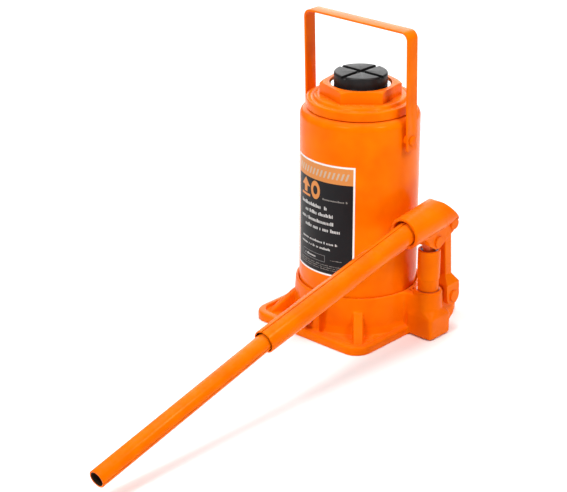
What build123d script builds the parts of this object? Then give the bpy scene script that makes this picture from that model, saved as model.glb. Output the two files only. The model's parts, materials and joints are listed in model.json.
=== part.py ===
from build123d import *

import os
from math import cos, radians, sin, sqrt

# Hydraulic bottle jack, millimetres. The ram stands along +Z on the origin, which is the ram's axis
# on the underside of the base. The pump stands at +X, its handle reaches out towards -Y and the
# link that drives it stands at +Y.

# ---------------------------------------------------------------------- driving dimensions
CLOSED_HEIGHT = 241.0

FLANGE_X, FLANGE_Y = 134.0, 154.0
FLANGE_CORNER = 17.0
RIM_TOP = 8.5
RIM_WIDTH_X, RIM_WIDTH_Y = 6.0, 8.0
FLOOR_TOP = 5.0
SKIRT_TOP = 12.0
BOSS_TOP = 40.4
BOSS_TOP_RADIUS = 58.6
BOSS_SKIRT_RADIUS = 60.4
BOSS_FOOT_RADIUS = 63.5
RIB_WIDTH = 9.0
RIB_TOP = 27.0
RIB_REACH = 84.0
RIB_ANGLE = 49.0

PUMP_X, PUMP_Y = 77.0, 10.0
pump_axis = (PUMP_X, PUMP_Y)
PUMP_BOSS_RADIUS = 13.3
PUMP_BOSS_TOP = 45.6
PUMP_RECESS = 1.4
BLOCK_MAX_X = 93.0
BLOCK_MIN_Y, BLOCK_MAX_Y = -5.0, 25.0
BLOCK_BOTTOM = 0.8
BLOCK_TOP = 21.0
BLOCK_SHOULDER = 27.5

TANK_RADIUS = 55.4
TANK_WALL = 3.0
TANK_BOTTOM, TANK_TOP = 34.0, 208.0
TANK_SHOULDER = 7.5
TANK_MOUTH_RADIUS = 41.5
OIL_FLOOR = 36.0

BORE_RADIUS = 30.0
CYLINDER_RADIUS = 37.0
CYLINDER_BOTTOM, CYLINDER_TOP = 26.0, 200.0
CYLINDER_SEAT = 24.0

NUT_FLANGE_RADIUS = 49.6
NUT_FLANGE_BOTTOM, NUT_FLANGE_TOP = 208.8, 217.5
NUT_TOP = 231.0
NUT_ACROSS_CORNERS = 75.0
NUT_SKIRT_RADIUS = 41.0
NUT_SKIRT_BOTTOM = 188.0
HEX_TURN = 42.0

RAM_RADIUS = 28.15
RAM_BOTTOM, RAM_TOP = 30.0, 229.4
SCREW_RADIUS = 19.0
SCREW_BOTTOM = 136.0
SADDLE_RADIUS = 24.6
SADDLE_BOTTOM = 229.7
RUNNING = 0.05

PLUNGER_RADIUS = 6.0
PLUNGER_BOTTOM = 26.0
PUMP_TUBE_RADIUS = 10.5
PUMP_NECK_RADIUS = 9.75
PUMP_TUBE_TOP = 85.0
PUMP_TUBE_BOTTOM = 22.0

# pivots of the pump linkage, (y, z), all with axes along X
PIVOT_PLUNGER = (10.0, 94.6)
PIVOT_TOP = (32.1, 106.2)
PIVOT_BASE = (36.3, 31.7)
PIN_RADIUS = 4.0
TOP_PIN_RADIUS = 3.5
CHEEK_GAP = 5.0
CHEEK_FACE = 10.2
FORK_FACE = 9.6

SOCKET_SLOPE = 7.2
SOCKET_MOUTH = (-27.8, 111.2)
SOCKET_RADIUS = 15.2
SOCKET_BORE = 12.1
SOCKET_DEPTH = 36.0
SOCKET_LENGTH = 72.0

OUTER_TUBE_SLOPE = 12.2
OUTER_TUBE_RADIUS, OUTER_TUBE_BORE = 10.5, 9.0
OUTER_TUBE_INSERTED = 30.0
OUTER_TUBE_DROP = 1.2
OUTER_TUBE_OUTSIDE = 188.3
INNER_TUBE_SLOPE = 14.4
INNER_TUBE_RADIUS, INNER_TUBE_BORE = 7.9, 6.3
INNER_TUBE_INSERTED = 36.0
INNER_TUBE_OUTSIDE = 195.8
INNER_TUBE_DROP = 0.7

BAIL_PIVOT_Z = 188.5
BAIL_INNER_X = 59.4
BAIL_STRAP = 1.8
BAIL_WIDTH = 13.4
BAIL_TOP = 290.0
BAIL_CORNER = 7.5
BAIL_LEAN = 1.6
BAIL_SCREW_RADIUS = 3.0

VALVE_X, VALVE_Z = -2.0, 18.0
VALVE_FACE_Y = -69.0
BALL_RADIUS = 3.0

LABEL_FROM, LABEL_TO = -126.5, -53.4
LABEL_BOTTOM, LABEL_TOP = 59.0, 167.7
LABEL_THICKNESS = 0.25

UPRIGHT = (Align.CENTER, Align.CENTER, Align.MIN)


# ---------------------------------------------------------------------- helpers for any piece
def disc(radius, bottom, top, centre=(0, 0), mode=Mode.ADD):
    """Add an upright round disc or rod, or cut it, between two heights."""
    with Locations((centre[0], centre[1], bottom)):
        Cylinder(radius, top - bottom, align=UPRIGHT, mode=mode)


def ring(inner, outer, bottom, top, centre=(0, 0)):
    """Add an upright ring between two heights."""
    disc(outer, bottom, top, centre)
    disc(inner, bottom, top, centre, mode=Mode.SUBTRACT)


def rod_along_x(radius, start, end, y, z, mode=Mode.ADD):
    """Add a round rod lying along +X, or cut it, between two x values."""
    with Locations(Plane(origin=(start, y, z), x_dir=(0, 1, 0), z_dir=(1, 0, 0))):
        Cylinder(radius, end - start, align=UPRIGHT, mode=mode)


def rod_along_y(radius, start, end, x, z, mode=Mode.ADD):
    """Add a round rod lying along +Y, or cut it, between two y values."""
    with Locations(Plane(origin=(x, start, z), x_dir=(1, 0, 0), z_dir=(0, 1, 0))):
        Cylinder(radius, end - start, align=UPRIGHT, mode=mode)


def coil_spring(coil_radius, wire_radius, pitch, height, foot, axis):
    """Add an open coil spring that rises from its foot along an axis."""
    with BuildLine(mode=Mode.PRIVATE) as helix:
        Helix(pitch, height, coil_radius, center=foot, direction=axis)
    wire_plane = Plane(origin=helix.line @ 0, z_dir=helix.line % 0)
    with BuildSketch(wire_plane, mode=Mode.PRIVATE) as wire:
        Circle(wire_radius)
    sweep(sections=wire.sketch, path=helix.line, is_frenet=True)


def linkage_plane(x):
    """Plane facing +X in which a sketch's axes are the object's Y and Z."""
    return Plane.YZ.offset(x)


def handle_plane(y, z, slope):
    """Plane at a point of the handle, facing down the handle towards its grip."""
    return Plane(
        origin=(PUMP_X, y, z),
        x_dir=(1, 0, 0),
        z_dir=(0, -cos(radians(slope)), -sin(radians(slope))),
    )


def along_handle(point, slope, distance):
    """Point (y, z) reached by going down the handle by a distance."""
    return (
        point[0] - distance * cos(radians(slope)),
        point[1] - distance * sin(radians(slope)),
    )


# ---------------------------------------------------------------------- base casting
PASSAGE = 1.8
INLET_Z = 8.0
OUTLET_X = 62.0
OUTLET_SEAT_Z = 20.0
OUTLET_PLUG_Z = 34.0
INLET_SEAT_Z = 12.0
VALVE_POCKET = 3.6
RELIEF_X, RELIEF_Z = 87.0, 14.0
RELIEF_SEAT_Y = 16.0
RETURN_Y = -44.0
RELEASE_SEAT_Y = -34.0
RELEASE_BORE_END_Y = -48.0
FEED_X = 25.0
SUCTION_X = 44.0
RELEASE_BOSS_X = (-16.0, 12.0)
RELEASE_BOSS_TOP = 31.0
LUG_HALF = 4.5
WEB_START_X = 50.0
WEB_BLEND = 7.0
BLOCK_CORNER = 3.0
BLOCK_MIN_X = 63.0
block_centre = ((BLOCK_MIN_X + BLOCK_MAX_X) / 2, (BLOCK_MIN_Y + BLOCK_MAX_Y) / 2)
block_size = (BLOCK_MAX_X - BLOCK_MIN_X, BLOCK_MAX_Y - BLOCK_MIN_Y)
LUG_REAR_Y = 45.3

with BuildPart() as base_casting:
    # flange with its raised rim
    with BuildSketch():
        RectangleRounded(FLANGE_X, FLANGE_Y, FLANGE_CORNER)
    extrude(amount=RIM_TOP)
    fillet(base_casting.edges().group_by(Axis.Z)[-1], radius=2.5)
    with BuildSketch(Plane.XY.offset(FLOOR_TOP)):
        RectangleRounded(
            FLANGE_X - 2 * RIM_WIDTH_X,
            FLANGE_Y - 2 * RIM_WIDTH_Y,
            FLANGE_CORNER - RIM_WIDTH_X,
        )
    extrude(amount=RIM_TOP, mode=Mode.SUBTRACT)
    # ribs running out to the four corners
    for angle in (RIB_ANGLE, 180 - RIB_ANGLE, 180 + RIB_ANGLE, -RIB_ANGLE):
        rib_plane = Plane(
            origin=(0, 0, 0),
            x_dir=(cos(radians(angle)), sin(radians(angle)), 0),
            z_dir=(sin(radians(angle)), -cos(radians(angle)), 0),
        )
        with BuildSketch(rib_plane) as rib_side:
            Polygon((50, 0), (RIB_REACH, 0), (RIB_REACH, 6), (61, RIB_TOP), (50, RIB_TOP), align=None)
            fillet(rib_side.vertices().sort_by(Axis.Z)[-1:], radius=0.5)
        extrude(amount=RIB_WIDTH / 2, both=True)
    # web from the round boss out to the pump boss, blending into the boss with concave corners
    with BuildSketch(Plane.XY.offset(BLOCK_BOTTOM)) as web:
        with Locations(((WEB_START_X + PUMP_X) / 2, PUMP_Y)):
            Rectangle(PUMP_X - WEB_START_X, 2 * PUMP_BOSS_RADIUS)
        with BuildLine():
            for side in (-1, 1):
                edge = PUMP_Y + side * PUMP_BOSS_RADIUS
                Polyline(
                    (WEB_START_X, edge),
                    (WEB_START_X, edge + side * WEB_BLEND),
                    (WEB_START_X + 3, edge + side * WEB_BLEND),
                )
                RadiusArc(
                    (WEB_START_X + 3, edge + side * WEB_BLEND),
                    (WEB_START_X + 3 + WEB_BLEND, edge),
                    side * 1.1 * WEB_BLEND,
                )
                Line((WEB_START_X + 3 + WEB_BLEND, edge), (WEB_START_X, edge))
        make_face()
    extrude(amount=BOSS_TOP - BLOCK_BOTTOM)
    # skirt that spreads from the boss to the floor
    with BuildSketch(Plane.XZ):
        with BuildLine():
            Polyline(
                (0, 1),
                (BOSS_FOOT_RADIUS, 1),
                (BOSS_FOOT_RADIUS, FLOOR_TOP),
                (BOSS_SKIRT_RADIUS, SKIRT_TOP),
                (BOSS_TOP_RADIUS, BOSS_TOP),
                (0, BOSS_TOP),
                close=True,
            )
        make_face()
    revolve(axis=Axis.Z)
    # pump boss: round at the top, square at its foot
    disc(PUMP_BOSS_RADIUS, BLOCK_BOTTOM, PUMP_BOSS_TOP, (PUMP_X, PUMP_Y))
    fillet(base_casting.edges().group_by(Axis.Z)[-1], radius=2.5)
    with BuildSketch(Plane.XY.offset(BLOCK_SHOULDER)):
        with Locations((PUMP_X, PUMP_Y)):
            RectangleRounded(2 * PUMP_BOSS_RADIUS, 2 * PUMP_BOSS_RADIUS, PUMP_BOSS_RADIUS - 0.1)
    with BuildSketch(Plane.XY.offset(BLOCK_TOP)):
        with Locations(block_centre):
            RectangleRounded(*block_size, BLOCK_CORNER)
    loft()
    with BuildSketch(Plane.XY.offset(BLOCK_BOTTOM)):
        with Locations(block_centre):
            RectangleRounded(*block_size, BLOCK_CORNER)
    extrude(amount=BLOCK_TOP - BLOCK_BOTTOM)
    # lug that carries the link
    with BuildSketch(linkage_plane(PUMP_X - LUG_HALF)):
        with Locations(PIVOT_BASE):
            Circle(LUG_REAR_Y - PIVOT_BASE[0])
        Polygon(
            (PUMP_Y, 2),
            (38.5, 4),
            (LUG_REAR_Y, 9.5),
            (LUG_REAR_Y, PIVOT_BASE[1]),
            (PUMP_Y, PIVOT_BASE[1]),
            align=None,
        )
    extrude(amount=2 * LUG_HALF)
    # boss for the release valve
    with BuildSketch(Plane.XZ.offset(-VALVE_FACE_Y)):
        with Locations((sum(RELEASE_BOSS_X) / 2, RELEASE_BOSS_TOP / 2)):
            Rectangle(RELEASE_BOSS_X[1] - RELEASE_BOSS_X[0], RELEASE_BOSS_TOP)
        fillet(vertices().filter_by_position(Axis.Z, RELEASE_BOSS_TOP - 1, RELEASE_BOSS_TOP + 1), radius=9)
    extrude(amount=VALVE_FACE_Y + 50)

    # seats for the tank and the pressure cylinder
    disc(CYLINDER_RADIUS, CYLINDER_SEAT, BOSS_TOP, mode=Mode.SUBTRACT)
    disc(TANK_RADIUS - TANK_WALL - 0.5, OIL_FLOOR, BOSS_TOP, mode=Mode.SUBTRACT)
    with BuildSketch(Plane.XY.offset(TANK_BOTTOM - 2)):
        Circle(TANK_RADIUS + 0.3)
        Circle(TANK_RADIUS - TANK_WALL - 0.5, mode=Mode.SUBTRACT)
    extrude(amount=BOSS_TOP, mode=Mode.SUBTRACT)
    # pump bore, inlet seat and the drilling to the inlet
    disc(10.8, PUMP_BOSS_TOP - PUMP_RECESS, PUMP_BOSS_TOP + 1, pump_axis, mode=Mode.SUBTRACT)
    disc(PUMP_NECK_RADIUS, PUMP_TUBE_BOTTOM - 1.5, PUMP_BOSS_TOP, pump_axis, mode=Mode.SUBTRACT)
    disc(VALVE_POCKET, INLET_SEAT_Z, PUMP_TUBE_BOTTOM, pump_axis, mode=Mode.SUBTRACT)
    disc(PASSAGE, INLET_Z, INLET_SEAT_Z, pump_axis, mode=Mode.SUBTRACT)
    rod_along_x(PASSAGE, SUCTION_X, PUMP_X, PUMP_Y, INLET_Z, mode=Mode.SUBTRACT)
    disc(PASSAGE, INLET_Z, OIL_FLOOR, (SUCTION_X, PUMP_Y), mode=Mode.SUBTRACT)
    # outlet valve pocket, the drilling from the pump and the feed under the ram
    outlet_axis = (OUTLET_X, PUMP_Y)
    rod_along_x(PASSAGE, OUTLET_X, PUMP_X, PUMP_Y, 16.0, mode=Mode.SUBTRACT)
    disc(PASSAGE, 16.0, OUTLET_SEAT_Z, outlet_axis, mode=Mode.SUBTRACT)
    disc(VALVE_POCKET, OUTLET_SEAT_Z, OUTLET_PLUG_Z, outlet_axis, mode=Mode.SUBTRACT)
    disc(5.0, OUTLET_PLUG_Z, BOSS_TOP, outlet_axis, mode=Mode.SUBTRACT)
    rod_along_x(1.4, FEED_X, OUTLET_X, PUMP_Y, 21.6, mode=Mode.SUBTRACT)
    disc(1.4, 21.6, CYLINDER_SEAT, (FEED_X, PUMP_Y), mode=Mode.SUBTRACT)
    # overload valve bore in the block's back face
    rod_along_y(3.0, RELIEF_SEAT_Y, BLOCK_MAX_Y, RELIEF_X, RELIEF_Z, mode=Mode.SUBTRACT)
    rod_along_y(1.0, PUMP_Y, RELIEF_SEAT_Y, RELIEF_X, RELIEF_Z, mode=Mode.SUBTRACT)
    rod_along_x(1.0, PUMP_X, RELIEF_X, PUMP_Y, RELIEF_Z, mode=Mode.SUBTRACT)
    # release valve bore, its seat, the drain under the ram and the return to the tank
    rod_along_y(6.0 + RUNNING, VALVE_FACE_Y, RELEASE_BORE_END_Y, VALVE_X, VALVE_Z, mode=Mode.SUBTRACT)
    rod_along_y(VALVE_POCKET, RELEASE_BORE_END_Y, RELEASE_SEAT_Y, VALVE_X, VALVE_Z, mode=Mode.SUBTRACT)
    rod_along_y(PASSAGE, RELEASE_SEAT_Y, -10, VALVE_X, VALVE_Z, mode=Mode.SUBTRACT)
    disc(PASSAGE, VALVE_Z, CYLINDER_SEAT, (VALVE_X, -12), mode=Mode.SUBTRACT)
    disc(PASSAGE, VALVE_Z, OIL_FLOOR, (VALVE_X, RETURN_Y), mode=Mode.SUBTRACT)
    # hole for the link's pin
    rod_along_x(PIN_RADIUS + RUNNING, 60, 100, *PIVOT_BASE, mode=Mode.SUBTRACT)

# ---------------------------------------------------------------------- reservoir and its label
with BuildPart() as tank_gasket:
    ring(TANK_RADIUS - TANK_WALL, TANK_RADIUS, TANK_BOTTOM - 2, TANK_BOTTOM)

FILLER_Z = 176.0
FILLER_HOLE = 5.0
with BuildPart() as reservoir_tank:
    disc(TANK_RADIUS, TANK_BOTTOM, TANK_TOP)
    fillet(reservoir_tank.edges().group_by(Axis.Z)[-1], radius=TANK_SHOULDER)
    with BuildSketch(Plane.XZ):
        with BuildLine():
            inner = TANK_RADIUS - TANK_WALL
            shoulder = TANK_SHOULDER - TANK_WALL
            Polyline(
                (0, TANK_BOTTOM),
                (inner, TANK_BOTTOM),
                (inner, TANK_TOP - TANK_SHOULDER),
                (inner - shoulder, TANK_TOP - TANK_WALL),
                (0, TANK_TOP - TANK_WALL),
                close=True,
            )
        make_face()
    revolve(axis=Axis.Z, mode=Mode.SUBTRACT)
    disc(TANK_MOUTH_RADIUS, TANK_BOTTOM, TANK_TOP, mode=Mode.SUBTRACT)
    rod_along_y(FILLER_HOLE, 0, TANK_RADIUS + 5, 0, FILLER_Z, mode=Mode.SUBTRACT)

with BuildPart() as filler_plug:
    rod_along_y(FILLER_HOLE - RUNNING, 49.0, 56.0, 0, FILLER_Z)
    rod_along_y(8.0, TANK_RADIUS + 0.3, TANK_RADIUS + 3.3, 0, FILLER_Z)
    fillet(filler_plug.edges().group_by(Axis.Y)[-1], radius=1.2)

with BuildPart() as label:
    with BuildSketch(Plane.XY.offset(LABEL_BOTTOM)):
        with BuildLine():
            outer_arc = CenterArc((0, 0), TANK_RADIUS + LABEL_THICKNESS, LABEL_FROM, LABEL_TO - LABEL_FROM)
            inner_arc = CenterArc((0, 0), TANK_RADIUS, LABEL_FROM, LABEL_TO - LABEL_FROM)
            Line(outer_arc @ 0, inner_arc @ 0)
            Line(outer_arc @ 1, inner_arc @ 1)
        make_face()
    extrude(amount=LABEL_TOP - LABEL_BOTTOM)

# ---------------------------------------------------------------------- pressure cylinder and nut
with BuildPart() as cylinder_gasket:
    ring(31.0, CYLINDER_RADIUS, CYLINDER_SEAT, CYLINDER_BOTTOM)

with BuildPart() as pressure_cylinder:
    ring(BORE_RADIUS, CYLINDER_RADIUS, CYLINDER_BOTTOM, CYLINDER_TOP)
    chamfer(pressure_cylinder.edges().group_by(Axis.Z)[-1].sort_by(SortBy.RADIUS)[0], length=1.5)

SEAL_OUTER = 31.5
SEAL_BOTTOM, SEAL_TOP = 205.0, 211.0
WIPER_BOTTOM, WIPER_TOP = 222.0, 226.0
with BuildPart() as tank_nut:
    disc(NUT_SKIRT_RADIUS, NUT_SKIRT_BOTTOM, NUT_FLANGE_BOTTOM)
    disc(NUT_FLANGE_RADIUS - 2.6, TANK_TOP, NUT_FLANGE_BOTTOM)
    disc(NUT_FLANGE_RADIUS, NUT_FLANGE_BOTTOM, NUT_FLANGE_TOP)
    fillet(
        tank_nut.edges().filter_by(GeomType.CIRCLE).group_by(Axis.Z)[-1],
        radius=2.5,
    )
    with BuildSketch(Plane.XY.offset(NUT_FLANGE_TOP)):
        RegularPolygon(NUT_ACROSS_CORNERS / 2, 6, rotation=HEX_TURN)
    extrude(amount=NUT_TOP - NUT_FLANGE_TOP)
    with BuildSketch(Plane.XZ):
        Polygon(
            (NUT_ACROSS_CORNERS / 2 - 3.2, NUT_TOP),
            (NUT_ACROSS_CORNERS / 2 + 1.0, NUT_TOP - 2.4),
            (NUT_ACROSS_CORNERS / 2 + 1.0, NUT_TOP),
            align=None,
        )
    revolve(axis=Axis.Z, mode=Mode.SUBTRACT)
    disc(CYLINDER_RADIUS, NUT_SKIRT_BOTTOM, CYLINDER_TOP, mode=Mode.SUBTRACT)
    disc(RAM_RADIUS + RUNNING, CYLINDER_TOP, NUT_TOP, mode=Mode.SUBTRACT)
    disc(SEAL_OUTER, SEAL_BOTTOM, SEAL_TOP, mode=Mode.SUBTRACT)
    disc(SEAL_OUTER, WIPER_BOTTOM, WIPER_TOP, mode=Mode.SUBTRACT)

with BuildPart() as nut_seal:
    ring(RAM_RADIUS + RUNNING, SEAL_OUTER, SEAL_BOTTOM, SEAL_TOP)

with BuildPart() as ram_wiper:
    ring(RAM_RADIUS + RUNNING, SEAL_OUTER, WIPER_BOTTOM, WIPER_TOP)

# ---------------------------------------------------------------------- ram, screw and saddle
PISTON_RADIUS = BORE_RADIUS - RUNNING
SPIGOT_RADIUS = 22.0
CUP_BOTTOM, CUP_TOP = 34.0, 42.0
PISTON_BOTTOM, PISTON_TOP = 44.5, 50.0
with BuildPart() as ram:
    disc(SPIGOT_RADIUS, RAM_BOTTOM, PISTON_BOTTOM)
    disc(PISTON_RADIUS, PISTON_BOTTOM, PISTON_TOP)
    disc(RAM_RADIUS, PISTON_TOP, RAM_TOP)
    chamfer(ram.edges().group_by(Axis.Z)[-1], length=1.0)
    disc(SCREW_RADIUS + RUNNING, SCREW_BOTTOM - 14, RAM_TOP, mode=Mode.SUBTRACT)
    disc(SCREW_RADIUS + 2.0, RAM_TOP - 3, RAM_TOP, mode=Mode.SUBTRACT)

with BuildPart() as ram_cup_retainer:
    ring(SPIGOT_RADIUS, 28.0, RAM_BOTTOM + 1.5, CUP_BOTTOM)

with BuildPart() as ram_cup:
    ring(SPIGOT_RADIUS, PISTON_RADIUS, CUP_BOTTOM, CUP_TOP)
    with BuildSketch(Plane.XZ):
        Polygon(
            (PISTON_RADIUS - 1.6, CUP_BOTTOM),
            (PISTON_RADIUS - 4.0, CUP_BOTTOM + 5),
            (SPIGOT_RADIUS + 2.0, CUP_BOTTOM + 5),
            (SPIGOT_RADIUS + 2.0, CUP_BOTTOM),
            align=None,
        )
    revolve(axis=Axis.Z, mode=Mode.SUBTRACT)

with BuildPart() as ram_backup_ring:
    ring(SPIGOT_RADIUS, PISTON_RADIUS, CUP_TOP, PISTON_BOTTOM)

SADDLE_SPIGOT = 11.0
SADDLE_SPIGOT_TOP = 236.0
with BuildPart() as extension_screw:
    disc(SCREW_RADIUS, SCREW_BOTTOM, SADDLE_BOTTOM)
    chamfer(extension_screw.edges().group_by(Axis.Z)[0], length=1.5)
    disc(SADDLE_SPIGOT, SADDLE_BOTTOM, SADDLE_SPIGOT_TOP)
    disc(14.5, SCREW_BOTTOM + 3, SCREW_BOTTOM + 7)
    with BuildSketch(Plane.XZ):
        Polygon(
            (15.5, SCREW_BOTTOM + 3),
            (SCREW_RADIUS + 1, SCREW_BOTTOM + 3),
            (SCREW_RADIUS + 1, SCREW_BOTTOM + 6.2),
            (15.5, SCREW_BOTTOM + 6.2),
            align=None,
        )
    revolve(axis=Axis.Z, mode=Mode.SUBTRACT)

with BuildPart() as extension_stop_ring:
    ring(15.5 + RUNNING, SCREW_RADIUS - 0.4, SCREW_BOTTOM + 3.6, SCREW_BOTTOM + 5.6)

GROOVE_WIDTH, GROOVE_DEPTH = 5.0, 2.4
with BuildPart() as saddle:
    disc(SADDLE_RADIUS, SADDLE_BOTTOM, CLOSED_HEIGHT)
    fillet(saddle.edges().group_by(Axis.Z)[-1], radius=1.8)
    disc(SADDLE_SPIGOT, SADDLE_BOTTOM, SADDLE_SPIGOT_TOP, mode=Mode.SUBTRACT)
    with BuildSketch(Plane.XY.offset(CLOSED_HEIGHT)):
        Rectangle(3 * SADDLE_RADIUS, GROOVE_WIDTH)
        Rectangle(GROOVE_WIDTH, 3 * SADDLE_RADIUS)
    extrude(amount=-GROOVE_DEPTH, mode=Mode.SUBTRACT)

# ---------------------------------------------------------------------- pump
with BuildPart() as pump_gasket:
    ring(5.0, PUMP_NECK_RADIUS, PUMP_TUBE_BOTTOM - 1.5, PUMP_TUBE_BOTTOM, pump_axis)

with BuildPart() as pump_cylinder:
    disc(PUMP_NECK_RADIUS, PUMP_TUBE_BOTTOM, 57.0, pump_axis)
    disc(PUMP_TUBE_RADIUS, 56.0, PUMP_TUBE_TOP, pump_axis)
    chamfer(pump_cylinder.edges().group_by(Axis.Z)[-1], length=0.6)
    disc(PLUNGER_RADIUS + RUNNING, PUMP_TUBE_BOTTOM, PUMP_TUBE_TOP, pump_axis, mode=Mode.SUBTRACT)
    disc(PLUNGER_RADIUS + 2.2, PUMP_TUBE_TOP - 4, PUMP_TUBE_TOP, pump_axis, mode=Mode.SUBTRACT)

with BuildPart() as pump_washer:
    ring(PUMP_NECK_RADIUS, 10.8, PUMP_BOSS_TOP - PUMP_RECESS, PUMP_BOSS_TOP - 0.4, pump_axis)

with BuildPart() as plunger_wiper:
    ring(PLUNGER_RADIUS + RUNNING, PLUNGER_RADIUS + 2.2, PUMP_TUBE_TOP - 4, PUMP_TUBE_TOP - 0.8, pump_axis)

O_RING_WIRE = 1.0
PLUNGER_GROOVE_Z = 31.0
PLUNGER_EYE_RADIUS = 7.0
EAR_RADIUS = 7.4
FLAT_BOTTOM, FLAT_HEIGHT, FLAT_DEPTH = 82.8, 4.6, 4.0
with BuildPart() as pump_plunger:
    disc(PLUNGER_RADIUS, PLUNGER_BOTTOM, PIVOT_PLUNGER[1] - EAR_RADIUS - 0.6, pump_axis)
    with BuildSketch(linkage_plane(PUMP_X - LUG_HALF)):
        with Locations(PIVOT_PLUNGER):
            Circle(PLUNGER_EYE_RADIUS)
        with Locations((PUMP_Y, (PIVOT_PLUNGER[1] + PUMP_TUBE_TOP + 1) / 2)):
            Rectangle(1.7 * PLUNGER_RADIUS, PIVOT_PLUNGER[1] - PUMP_TUBE_TOP - 1)
    extrude(amount=2 * LUG_HALF)
    # flats that let the cheeks swing down past the rod
    for side in (-1, 1):
        with Locations((PUMP_X + side * (LUG_HALF + FLAT_DEPTH / 2), PUMP_Y, FLAT_BOTTOM)):
            Box(FLAT_DEPTH, 3 * PLUNGER_RADIUS, FLAT_HEIGHT, align=UPRIGHT, mode=Mode.SUBTRACT)
    rod_along_x(PIN_RADIUS + RUNNING, 60, 95, *PIVOT_PLUNGER, mode=Mode.SUBTRACT)
    with Locations((PUMP_X, PUMP_Y, PLUNGER_GROOVE_Z)):
        Cylinder(PLUNGER_RADIUS + 1, 2 * O_RING_WIRE, mode=Mode.SUBTRACT)
        Cylinder(PLUNGER_RADIUS - 2 * O_RING_WIRE, 2 * O_RING_WIRE)

with BuildPart() as plunger_o_ring:
    with Locations((PUMP_X, PUMP_Y, PLUNGER_GROOVE_Z)):
        Torus(PLUNGER_RADIUS - O_RING_WIRE, O_RING_WIRE)

# ---------------------------------------------------------------------- linkage
TOP_EAR_RADIUS = 6.9
SPOT_FACE = 1.1
PIN_HEAD_RADIUS = 5.4
PIN_HEAD = 1.8
CROWN = (12.5, 121.3)
CROWN_RADIUS = 10.5
CHEEK_FRONT_Y = -14.0
ARCH = (-13.5, 91.5)
ARCH_RADIUS = 11.0
mouth_plane = handle_plane(*SOCKET_MOUTH, SOCKET_SLOPE)
TUBE_BACKWARDS = (Align.CENTER, Align.CENTER, Align.MAX)
with BuildPart() as handle_socket:
    # round body in line with the handle's bore, closed by a sloping, rounded back
    with Locations(mouth_plane):
        Cylinder(SOCKET_RADIUS, SOCKET_LENGTH, align=TUBE_BACKWARDS)
    with BuildSketch(linkage_plane(PUMP_X - 20)):
        with Locations(CROWN):
            Circle(CROWN_RADIUS)
        with Locations(PIVOT_TOP):
            Circle(TOP_EAR_RADIUS)
        with Locations((-35, 128), (-35, 90)):
            Circle(10)
        make_hull()
    extrude(amount=40, mode=Mode.INTERSECT)
    # two cheeks with an ear for each pin
    with BuildSketch(linkage_plane(PUMP_X - CHEEK_FACE)):
        with Locations(PIVOT_PLUNGER):
            Circle(EAR_RADIUS)
        with Locations(PIVOT_TOP):
            Circle(TOP_EAR_RADIUS)
        with Locations((CHEEK_FRONT_Y, SOCKET_MOUTH[1] + 1)):
            Circle(9.0)
        make_hull()
        with Locations(ARCH):
            Circle(ARCH_RADIUS, mode=Mode.SUBTRACT)
    extrude(amount=2 * CHEEK_FACE)
    with Locations(mouth_plane):
        Cylinder(SOCKET_BORE, SOCKET_DEPTH, align=TUBE_BACKWARDS, mode=Mode.SUBTRACT)
    # gap between the cheeks
    with BuildSketch(linkage_plane(PUMP_X - CHEEK_GAP)):
        Polygon(
            (CHEEK_FRONT_Y + 4, 80),
            (50, 80),
            (50, 99),
            (40.5, 114.5),
            (22, 118),
            (9, 104),
            (CHEEK_FRONT_Y + 4, 106),
            align=None,
        )
    extrude(amount=2 * CHEEK_GAP, mode=Mode.SUBTRACT)
    rod_along_x(PIN_RADIUS, 60, 95, *PIVOT_PLUNGER, mode=Mode.SUBTRACT)
    rod_along_x(TOP_PIN_RADIUS, 60, 95, *PIVOT_TOP, mode=Mode.SUBTRACT)
    # flat seats that the pins' heads and clips bear on
    for y, z in (PIVOT_PLUNGER, PIVOT_TOP):
        for start, end in ((50, PUMP_X - CHEEK_FACE), (PUMP_X + CHEEK_FACE, 100)):
            rod_along_x(PIN_HEAD_RADIUS + SPOT_FACE, start, end, y, z, mode=Mode.SUBTRACT)

CLIP = 1.0
CLIP_GROOVE = 0.7


def headed_pin(radius, face, y, z):
    """Add a pin along X with a flat head on its +X end and a clip groove near its -X end."""
    rod_along_x(radius, PUMP_X - face - 3.2, PUMP_X + face, y, z)
    rod_along_x(PIN_HEAD_RADIUS, PUMP_X + face, PUMP_X + face + PIN_HEAD, y, z)
    groove = PUMP_X - face - 0.4
    rod_along_x(radius + 1, groove - CLIP, groove, y, z, mode=Mode.SUBTRACT)
    rod_along_x(radius - CLIP_GROOVE, groove - CLIP, groove, y, z)


def pin_clip(radius, face, y, z):
    """Add the open retaining clip that sits in a pin's groove."""
    groove = PUMP_X - face - 0.4
    rod_along_x(radius + 2.6, groove - CLIP, groove, y, z)
    rod_along_x(radius - CLIP_GROOVE, groove - CLIP, groove, y, z, mode=Mode.SUBTRACT)
    with Locations((groove - CLIP / 2, y, z - radius - 1)):
        Box(2 * CLIP, 2 * radius - 2.4, 2 * radius, mode=Mode.SUBTRACT)


with BuildPart() as plunger_pin:
    headed_pin(PIN_RADIUS, CHEEK_FACE, *PIVOT_PLUNGER)

with BuildPart() as link_top_pin:
    headed_pin(TOP_PIN_RADIUS, CHEEK_FACE, *PIVOT_TOP)

with BuildPart() as link_base_pin:
    headed_pin(PIN_RADIUS, FORK_FACE, *PIVOT_BASE)

with BuildPart() as socket_pin_clips:
    pin_clip(PIN_RADIUS, CHEEK_FACE, *PIVOT_PLUNGER)
    pin_clip(TOP_PIN_RADIUS, CHEEK_FACE, *PIVOT_TOP)

with BuildPart() as base_pin_clip:
    pin_clip(PIN_RADIUS, FORK_FACE, *PIVOT_BASE)

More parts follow.
